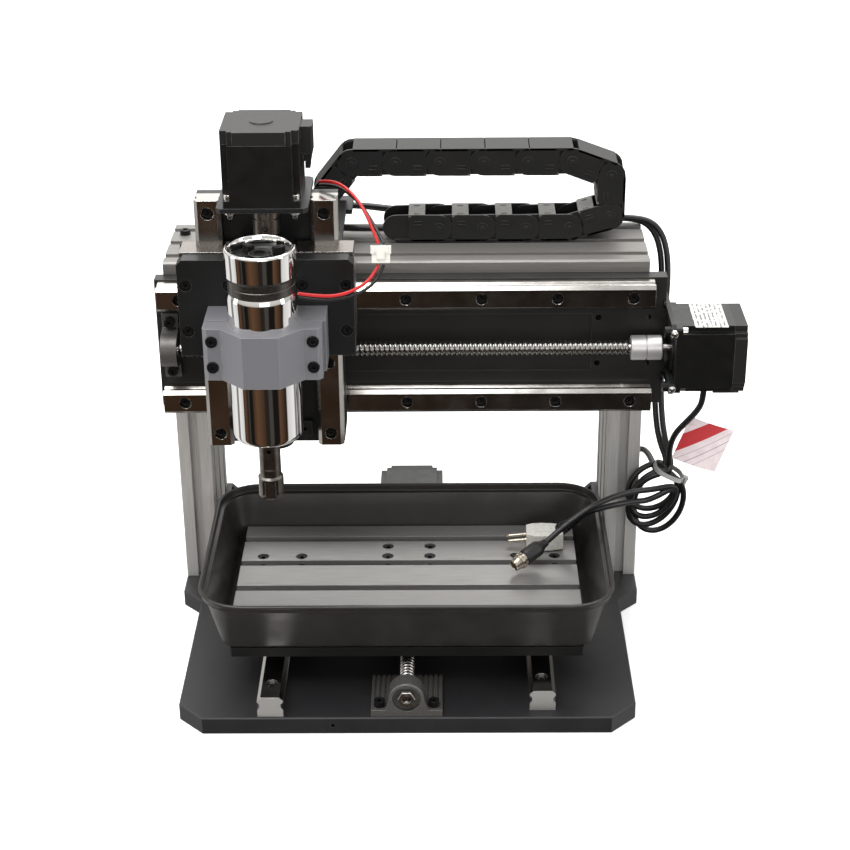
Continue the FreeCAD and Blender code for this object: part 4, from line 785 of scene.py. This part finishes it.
def make_screws():
    screw_piece("x_ball_screw", P(-195, *X_SCREW), (1, 0, 0), 13.0, 359.0, 14.0, 40.0, "x_screw_rotor",
                ("x_screw",))
    screw_piece("z_ball_screw", P(CARRIAGE_X, Z_SCREW_Y, 199), (0, 0, 1), 13.0, 156.5, 14.0, 40.0,
                "z_screw_rotor", ("z_screw",))
    screw_piece("y_ball_screw", P(0, 2.5, Y_SCREW_Z), (0, 1, 0), 17.0, 223.5, 14.0, 40.0, "y_screw_rotor",
                ("y_screw",))
    bm = bmesh.new()
    add_lathe(bm, [(4.0, 0.0), (6.4, 0.0), (7.0, 0.5), (7.0, 3.5), (6.4, 4.0), (4.0, 4.0)],
              at(P(0, 0.9, Y_SCREW_Z), (0, 1, 0)), 48, hexagonal(1, 4))
    new_piece("y_lock_nut", bm, "zinc", "y_screw_rotor")
    for name, start, way, body, node in (
            ("x_shaft_coupling", P(179, *X_SCREW), (1, 0, 0), "x_screw_rotor", ("x_coupling",)),
            ("y_shaft_coupling", P(0, 245, Y_SCREW_Z), (0, 1, 0), "y_screw_rotor", ()),
            ("z_shaft_coupling", P(CARRIAGE_X, Z_SCREW_Y, 370.5), (0, 0, 1), "z_screw_rotor", ("z_coupling",))):
        bm = bmesh.new()
        add_lathe(bm, coupling_profile(), at(start, way), 64)
        # The Z coupling takes the darker copy of the coupling aluminium: painted shade.
        new_piece(name, bm, "coupling_painted_shade" if name[0] == "z" else "coupling", body, node)
        bm = bmesh.new()
        outward = Vector((0, -1, 0)) if way[2] else Vector((0, 0, -1))
        for along in (6.2, 18.8):
            middle = start + Vector(way) * along * MM + outward * 10.15 * MM
            add_socket_head(bm, middle, -outward, 2.3, 2.0, 1.3)
        new_piece(name + "_set_screws", bm, "black_screws", body)


def make_spindle():
    low = at(P(CARRIAGE_X, SPINDLE_Y, 0))
    bm = bmesh.new()
    profile = [(8.3, 232.0), (21.0, 232.0), (23.2, 232.35), (24.9, 233.3), (25.8, 234.9), (26.0, 236.5)]
    profile += [(26.0, 238.0 + 10.5 * k) for k in range(11)]
    profile += [(25.6, 345.0), (25.2, 346.4), (24.6, 348.0)]
    add_lathe(bm, profile, low, 144)
    add_lathe(bm, [(26.0, 361.0), (26.0, 366.0), (26.0, 378.8), (25.8, 379.8), (25.2, 380.6), (24.4, 381.0),
                   (23.4, 380.8), (23.0, 380.2), (23.0, 372.0)], low, 144)
    new_piece("spindle_chrome", bm, "chrome", "z_carriage", ("spindle_body", "spindle_cap"),
              angle=50.0)
    bm = bmesh.new()
    add_lathe(bm, [(24.6, 348.0), (24.4, 349.2), (24.4, 353.4), (24.0, 353.8), (24.0, 354.6), (24.4, 355.0),
                   (24.5, 358.6), (25.4, 359.6), (26.0, 361.0)], low, 144)
    new_piece("spindle_neck_band", bm, "neck", "z_carriage")
    bm = bmesh.new()
    add_lathe(bm, [(23.0, 372.4), (22.0, 371.4), (9.0, 371.4), (8.4, 372.0), (8.4, 375.6), (7.6, 376.2),
                   (4.2, 376.2), (4.2, 374.6), (0.0, 374.6)], low, 72)
    for turn in (0.6, 2.2, 3.9, 5.3):
        x, y = 15.6 * math.cos(turn), 15.6 * math.sin(turn)
        add_block(bm, -4.0, 4.0, -2.6, 2.6, 371.0, 377.5,
                  low @ Matrix.Translation(Vector((x, y, 0)) * MM) @ Matrix.Rotation(turn, 4, "Z"), 0.5)
    new_piece("spindle_cap_inside", bm, "cap_inside", "z_carriage")
    bm = bmesh.new()
    add_lathe(bm, [(0.0, 232.6), (12.5, 232.6), (13.0, 232.2), (13.0, 230.8), (12.4, 230.3), (8.3, 230.3),
                   (8.3, 232.0)], low, 72)
    new_piece("spindle_lower_seal", bm, "neck", "z_carriage")


def rounded_ring(half_x, y0, y1, radius, z, steps=9):
    points = []
    corners = [(half_x - radius, y0 + radius, -90), (half_x - radius, y1 - radius, 0),
               (-half_x + radius, y1 - radius, 90), (-half_x + radius, y0 + radius, 180)]
    for x, y, start in corners:
        for k in range(steps + 1):
            turn = math.radians(start + 90.0 * k / steps)
            points.append(P(x + radius * math.cos(turn), y + radius * math.sin(turn), z))
    return points


def make_tray():
    """The pressed tray: flared walls, a ledge under the rim and a rolled edge, as one closed sheet."""
    half_x, y0, y1 = 162.0, 22.8, 225.9
    outside = [(23.0, 52.0), (20.0, 52.15), (17.8, 52.9), (16.3, 54.4), (15.4, 56.6), (11.8, 69.0), (8.2, 81.0),
               (5.2, 91.2), (4.8, 92.0), (4.0, 92.4), (2.6, 92.5), (2.1, 93.0), (2.0, 94.0), (2.0, 96.4),
               (1.4, 96.7), (0.5, 97.2), (0.05, 98.0), (0.05, 98.8), (0.6, 99.6), (1.6, 99.95)]
    inside = [(2.6, 99.8), (3.1, 99.0), (3.2, 97.6), (3.2, 94.8), (3.5, 94.0), (4.3, 93.7), (5.6, 93.6),
              (6.3, 93.1), (6.7, 92.2), (9.6, 82.0), (13.2, 69.8), (16.6, 57.6), (17.6, 55.4), (19.2, 54.1),
              (21.2, 53.4), (24.0, 53.2)]
    bm = bmesh.new()
    rings = []
    for inset, z in outside + inside:
        ring = rounded_ring(half_x - inset, y0 + inset, y1 - inset, 36.0 - inset * 1.35, z)
        rings.append([bm.verts.new(p) for p in ring])
    bridge(bm, rings)
    bm.faces.new(list(reversed(rings[0])))
    bm.faces.new(rings[-1])
    new_piece("pressed_tray", bm, "tray_coating", "y_carriage", ("drip_tray",), angle=60.0)


UPPER_PITCH, LOWER_PITCH = 35.6, 35.5       # from pin to pin along the chain
LINK_TOP, LINK_LOW = 377.5, 321.5           # height of the pins in the two runs
CHAIN_Y0, CHAIN_HALF = 250.0, 11.5


def arc(cx, cy, radius, start, end, steps=8):
    return [(cx + radius * math.cos(math.radians(start + (end - start) * k / steps)),
             cy + radius * math.sin(math.radians(start + (end - start) * k / steps))) for k in range(steps + 1)]


def add_link(dark, tabs, start, end):
    """One link from pin to pin: local X runs along it, local Y is its outer side and local Z is across."""
    run = end - start
    pitch = run.length / MM
    x = run.normalized()
    z = Vector((0, 1, 0))
    place = Matrix.Translation(start) @ Matrix((x, x.cross(z), z)).transposed().to_4x4()
    h = CHAIN_HALF
    outer = arc(0.0, 0.0, h - 0.3, 90.0, 270.0, 10) + [(pitch * 0.62, -h + 0.3), (pitch * 0.70, -h + 3.0),
                                                       (pitch * 0.70, h - 3.0), (pitch * 0.62, h - 0.3)]
    inner = [(pitch * 0.45, h - 0.5), (pitch * 0.45, -h + 0.5)] + arc(pitch, 0.0, h - 0.9, -90.0, 90.0, 10)
    for low, high, outline in ((0.0, 2.2, outer), (27.8, 30.0, outer), (2.2, 4.2, inner), (25.8, 27.8, inner)):
        add_outline(dark, outline, low, high, place, 0.35)
    for near, far in ((-0.5, 0.0), (30.0, 30.5)):
        add_outline(dark, arc(0.0, 0.0, 4.6, 0.0, 345.0, 15), near, far, place, 0.2)
        add_outline(dark, arc(0.0, 0.0, 1.5, 0.0, 330.0, 11), near - 0.3, far + 0.3, place, 0.1)
        for level in (-6.2, -3.4):
            add_block(dark, pitch * 0.40, pitch * 0.58, level, level + 1.0, near, far, place, 0.15)
    add_block(dark, 1.4, pitch + 0.6, h - 2.0, h, 0.0, 30.0, place, 0.4)
    add_block(tabs, pitch * 0.32, pitch * 0.70, -h, -h + 2.0, 0.6, 29.4, place, 0.4)
    for across in (3.0, 23.0):
        add_block(tabs, pitch * 0.44, pitch * 0.58, -h - 0.5, -h, across, across + 4.0, place, 0.2)


def chain_pin(x, z):
    return P(x, CHAIN_Y0, z)


def make_chain():
    bend = [chain_pin(134.0, LINK_TOP), chain_pin(166.0, 365.5), chain_pin(166.0, 331.0), chain_pin(133.0, LINK_LOW)]
    upper = [chain_pin(-44.0 + UPPER_PITCH * k, LINK_TOP) for k in range(6)]
    lower = [chain_pin(133.0 - LOWER_PITCH * k, LINK_LOW) for k in range(5)]
    runs = (("chain_upper_run", upper, "cable_chain_upper"), ("chain_bend_links", bend, "cable_chain_bend"),
            ("chain_lower_run", lower, "cable_chain_lower"))
    for name, pins, node in runs:
        dark, tabs = bmesh.new(), bmesh.new()
        for start, end in zip(pins, pins[1:]):
            add_link(dark, tabs, start, end)
        pieces = [new_piece(name, dark, "chain_plastic", None, (node,)),
                  new_piece(name + "_bars", tabs, "chain_tabs", None)]
        for piece in pieces:
            if name == "chain_upper_run":
                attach(piece, "x_carriage")
                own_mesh(piece)
            elif name == "chain_bend_links":
                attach(piece, "chain_bend")
            else:
                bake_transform(piece)
    dark, tabs = bmesh.new(), bmesh.new()
    add_link(dark, tabs, chain_pin(-65.5, 350.3), chain_pin(-44.0, LINK_TOP))
    new_piece("chain_end_link", dark, "chain_plastic", "x_carriage")
    new_piece("chain_end_link_bar", tabs, "chain_tabs", "x_carriage")


def make_motor_details():
    """Corner screws on the flanges, a sticker on the X motor, and a plug in each motor's socket."""
    motors = (("x", P(212.0, *X_SCREW), (1, 0, 0), (0, 0, -1), "frame"),
              ("y", P(0, 283.0, Y_SCREW_Z), (0, 1, 0), (1, 0, 0), "frame"),
              ("z", P(CARRIAGE_X, Z_SCREW_Y, 399.5), (0, 0, 1), (1, 0, 0), "x_carriage"))
    for name, origin, way, hint, body in motors:
        place = at(origin, way, hint)
        bm = bmesh.new()
        for sx in (-1, 1):
            for sy in (-1, 1):
                top = place @ (Vector((sx * MOTOR_HOLE, sy * MOTOR_HOLE, 9.2)) * MM)
                add_socket_head(bm, top, [-c for c in way], 3.9, 4.2, 2.0)
        new_piece(f"{name}_motor_flange_screws", bm, "zinc", body)
        bm = bmesh.new()
        add_block(bm, 30.0, 35.4, -7.4, 7.4, 28.0, 33.4, place, 0.7)
        add_block(bm, 31.0, 34.6, -6.2, 6.2, 22.5, 28.5, place, 0.6)
        new_piece(f"{name}_motor_plug", bm, "chain_plastic", body)
    bm = bmesh.new()
    add_outline(bm, [(226.5, 152.5), (252.5, 152.5), (252.5, 200.5), (226.5, 200.5)], 0.0, 0.18,
                Matrix.Translation(Vector((0.0, -HALF_DEPTH * MM, 273.97 * MM))))
    new_piece("motor_sticker", bm, "label", "frame")


def make_fasteners():
    bright, dark = bmesh.new(), bmesh.new()
    for sz in (-1, 1):
        z = X_SCREW[1] + sz * MOTOR_HOLE
        add_button(bright, P(210.2, X_SCREW[0] - 31.2, z), (0, 1, 0), 3.3, 2.6)
        add_socket_head(dark, P(205.6, 192.4, z + 8.0 * sz), (1, 0, 0), 3.2, 2.0, 1.6)
    for x, y in ((-184.5, 271.5), (-180.5, 238.0)):
        add_socket_head(dark, P(x, y, 314.2), (0, 0, -1), 4.4, 4.4, 2.3)
    new_piece("gantry_bright_screws", bright, "zinc", "frame")
    new_piece("gantry_top_screws", dark, "black_screws", "frame")
    bm = bmesh.new()
    for sx in (-1, 1):
        x = CARRIAGE_X + sx * MOTOR_HOLE
        add_lathe(bm, [(0.0, 0.0), (1.5, 0.1), (2.0, 0.6), (2.05, 9.0)],
                  at(P(x, Z_SCREW_Y - MOTOR_HOLE, 389.6)), 20)
        add_lathe(bm, [(2.2, 0.0), (3.3, 0.0), (3.6, 0.3), (3.6, 2.7), (3.3, 3.0), (2.2, 3.0)],
                  at(P(x, Z_SCREW_Y - MOTOR_HOLE, 393.0)), 24, hexagonal(1, 4))
    new_piece("z_motor_screw_ends", bm, "zinc", "x_carriage")


def make_plugs():
    """A round metal plug with a moulded boot, and a flat white two-pin plug with a ribbed relief."""
    end, tip = Vector((114.0, 146.5, 86.5)), Vector((86.0, 125.5, 75.4))
    way = (tip - end).normalized()
    start = P(*(end + way * 0.9))
    place = at(start, way, (0, 0, 1))
    bm = bmesh.new()
    add_lathe(bm, [(2.7, 0.0), (3.3, 0.4), (3.5, 3.0), (4.2, 5.0), (5.6, 7.6), (6.6, 9.4), (6.95, 11.0),
                   (7.0, 20.0), (6.9, 23.2), (6.4, 24.0), (5.7, 24.2)], place, 40,
              lambda turn, i: 1.0 + 0.05 * math.cos(4.0 * turn) if i >= 5 else 1.0)
    new_piece("plug_a_boot", bm, "chain_plastic", "y_carriage")
    bm = bmesh.new()
    add_lathe(bm, [(5.6, 23.6), (5.6, 31.0), (5.3, 32.6), (4.9, 34.2), (4.9, 35.6), (4.4, 36.0), (4.1, 35.6),
                   (4.1, 31.0), (0.0, 31.0)], place, 40)
    add_lathe(bm, [(4.9, 27.0), (6.5, 27.0), (6.8, 27.4), (6.8, 29.4), (6.5, 29.8), (4.9, 29.8)], place, 40)
    plug_a = new_piece("plug_a_shell", bm, "plug_metal", "y_carriage", ("plug_a",))
    back, end = Vector((125.0, 172.0, 82.0)), Vector((142.0, 169.5, 96.5))
    way = (back - end).normalized()
    place = at(P(*(end + way * 0.9)), way)
    length = (back - end).length - 0.9
    profile = [(2.7, 0.0)]
    ribs = 7
    for k in range(ribs):
        z0 = length * k / ribs
        step = length / ribs
        grow = 3.5 + 0.35 * k
        profile += [(grow, z0 + 0.1 * step), (grow, z0 + 0.6 * step), (grow - 0.8, z0 + 0.7 * step),
                    (grow - 0.8, z0 + step)]
    bm = bmesh.new()
    add_lathe(bm, profile, place, 32)
    new_piece("plug_b_relief", bm, "black_cable", "y_carriage")
    bm = bmesh.new()
    level = Matrix.Translation(Vector((0, -HALF_DEPTH * MM, 0)))
    outline = [(128.5, 163.5), (128.5, 180.5), (120.0, 182.6), (111.0, 183.4), (103.0, 182.6), (98.0, 180.0),
               (98.0, 163.5), (103.0, 161.0), (111.0, 160.0), (120.0, 161.0)]
    add_outline(bm, outline, 69.6, 83.4, level, 2.2)
    add_outline(bm, [(124.0, 167.0), (124.0, 178.0), (105.0, 178.0), (105.0, 167.0)], 83.0, 84.2, level, 0.4)
    body = new_piece("plug_b_body", bm, "white_plastic", "y_carriage", ("plug_b",))
    bm = bmesh.new()
    for y in (167.5, 176.5):
        add_lathe(bm, [(1.5, 0.0), (1.5, 15.0), (1.2, 16.6), (0.7, 17.6), (0.0, 17.9)],
                  at(P(99.0, y, 76.5), (-1, 0, -0.1)), 20)
    new_piece("plug_b_pins", bm, "plug_metal", "y_carriage")
    return plug_a, body


def make_connector():
    tilt = Matrix.Rotation(math.radians(-22.0), 4, "X")
    place = Matrix.Translation(P(-15.3, 78.0, 364.7)) @ tilt
    bm = bmesh.new()
    add_block(bm, -6.6, 6.6, -3.2, 3.2, -6.4, 0.6, place, 0.6)
    add_block(bm, -7.4, 7.4, -3.8, 3.8, 0.2, 6.4, place, 0.6)
    add_block(bm, -3.0, 3.0, -4.9, -3.4, -3.6, 2.8, place, 0.4)
    for x in (-5.4, 4.2):
        add_block(bm, x, x + 1.2, -4.4, -3.6, 0.8, 5.6, place, 0.2)
    new_piece("two_way_connector", bm, "white_plastic", "z_carriage", ("lead_connector",))


def make_tie():
    """A strap round the bundle, with its square head and cut end."""
    bm = bmesh.new()
    slant = Matrix.Translation(P(218.6, 206.0, 120.0)) @ Matrix.Rotation(math.radians(26.0), 4, "Y")
    outer, inner = [], []
    for k in range(40):
        turn = 2.0 * math.pi * k / 40
        c, s = math.cos(turn), math.sin(turn)
        for store, rx, ry in ((outer, 13.4, 12.4), (inner, 12.4, 11.4)):
            store.append((rx * math.copysign(abs(c) ** 0.7, c), ry * math.copysign(abs(s) ** 0.7, s)))
    low_o, low_i, top_o, top_i = ([bm.verts.new(slant @ (Vector((x, y, z)) * MM)) for x, y in ring]
                                  for ring, z in ((outer, -1.9), (inner, -1.9), (outer, 1.9), (inner, 1.9)))
    for k in range(40):
        j = (k + 1) % 40
        for near, far in ((low_o, top_o), (top_o, top_i), (top_i, low_i), (low_i, low_o)):
            bm.faces.new((near[k], near[j], far[j], far[k]))
    add_block(bm, 12.6, 17.0, -5.0, 0.6, -2.8, 2.8, slant, 0.6)
    add_block(bm, 14.0, 15.4, -9.6, -4.8, -1.7, 1.7, slant, 0.3)
    new_piece("nylon_tie", bm, "tie_plastic", "frame", ("cable_tie",))


def make_tag():
    """A thin bowed card, hung from a loop of thread."""
    bm = bmesh.new()
    place = Matrix.Translation(P(*TAG_MIDDLE)) @ Matrix.Rotation(math.radians(TAG_TURN), 4, "Y")
    wide, tall = TAG_SIZE
    columns, rows = 16, 12
    for side in (-0.22, 0.22):
        grid = []
        for i in range(columns + 1):
            x = wide * (i / columns - 0.5)
            bow = 2.4 * (2.0 * x / wide) ** 2 - 1.2
            grid.append([bm.verts.new(place @ (Vector((x, bow + side, tall * (j / rows - 0.5))) * MM))
                         for j in range(rows + 1)])
        for i in range(columns):
            for j in range(rows):
                bm.faces.new((grid[i][j], grid[i + 1][j], grid[i + 1][j + 1], grid[i][j + 1]))
        if side < 0:
            front = grid
    for i in range(columns):
        for j in (0, rows):
            bm.faces.new((front[i][j], front[i + 1][j], grid[i + 1][j], grid[i][j]))
    for j in range(rows):
        for i in (0, columns):
            bm.faces.new((front[i][j], front[i][j + 1], grid[i][j + 1], grid[i][j]))
    new_piece("hang_tag_card", bm, "tag_paper", "frame", ("inspection_tag",))
    thread = [P(222.5, 193.5, 163.5), P(226.0, 196.0, 164.0), P(230.0, 200.5, 165.0), P(236.6, 200.6, 165.4),
              P(237.4, 203.2, 164.0), P(231.0, 202.8, 163.2), P(226.0, 198.0, 162.6), P(222.3, 194.8, 162.8)]
    new_piece("tag_thread_loop", tube_mesh(smooth_route(thread), 0.45 * MM, 8), "thread", "frame")


# ---------------------------------------------------------------- CAD nodes that stay
CAD_FINISH = {
    "base_coat": ("base_plate",),
    "column": ("columns",),
    "beam": ("gantry_beam",),
    "face_plate": ("gantry_face_plate",),
    # the Y carriage plate gets the near-black painted shade
    "painted_shade_plate": ("y_carriage_plate",),
    "table": ("t_slot_table",),
    "aluminium": ("z_nut_housing", "y_nut_housing"),
    "black_plate": ("column_gussets", "motor_mounts", "x_carriage_body", "x_nut_housing", "z_motor_plate",
                    "z_screw_bearing", "z_plate"),
    "rail_steel": ("x_rails", "z_rails"),
    "sawn_rail_steel": ("y_rails",),
    "block_steel": ("x_bearing_blocks", "y_bearing_blocks", "z_bearing_blocks"),
    "black_screws": ("frame_screws", "z_rail_screws", "z_plate_screws", "table_screws"),
    "grey_housing": ("x_screw_bearing", "y_front_bearing"),
    "grey_clamp": ("clamp_rear", "clamp_front"),
    "motor_black": ("x_motor", "y_motor", "z_motor"),
    "motor_grey": ("motor_end_caps", "z_motor_cap"),
    "nose_steel": ("spindle_shaft", "collet_nut"),
}


def finish_cad():
    for finish, names in CAD_FINISH.items():
        for name in names:
            for slot in nodes[name].material_slots:
                slot.material = finishes[finish]


def make_floor():
    bm = bmesh.new()
    bmesh.ops.create_grid(bm, x_segments=1, y_segments=1, size=6.0)
    mesh = bpy.data.meshes.new("floor")
    bm.to_mesh(mesh)
    bm.free()
    f = Finish("pale_floor", (0.93, 0.93, 0.925), 0.9, 0.0, edge=0.0)
    f.tint(f.noise(300.0, 2.0), (0.91, 0.91, 0.905))
    f.shader.inputs["Emission Color"].default_value = (1.0, 1.0, 1.0, 1.0)
    f.shader.inputs["Emission Strength"].default_value = 0.45
    mesh.materials.append(f.material)
    floor = bpy.data.objects.new("floor", mesh)
    floor.location.z = -0.0005
    floor.visible_glossy = False
    bpy.context.scene.collection.objects.link(floor)


make_camera()
make_light()
make_world()
bpy.context.scene.view_settings.view_transform = "Standard"
finishes = make_finishes()
make_floor()
finish_cad()
make_cords(*make_plugs())
make_screws()
make_spindle()
make_tray()
make_chain()
make_motor_details()
make_fasteners()
make_connector()
make_tie()
make_tag()
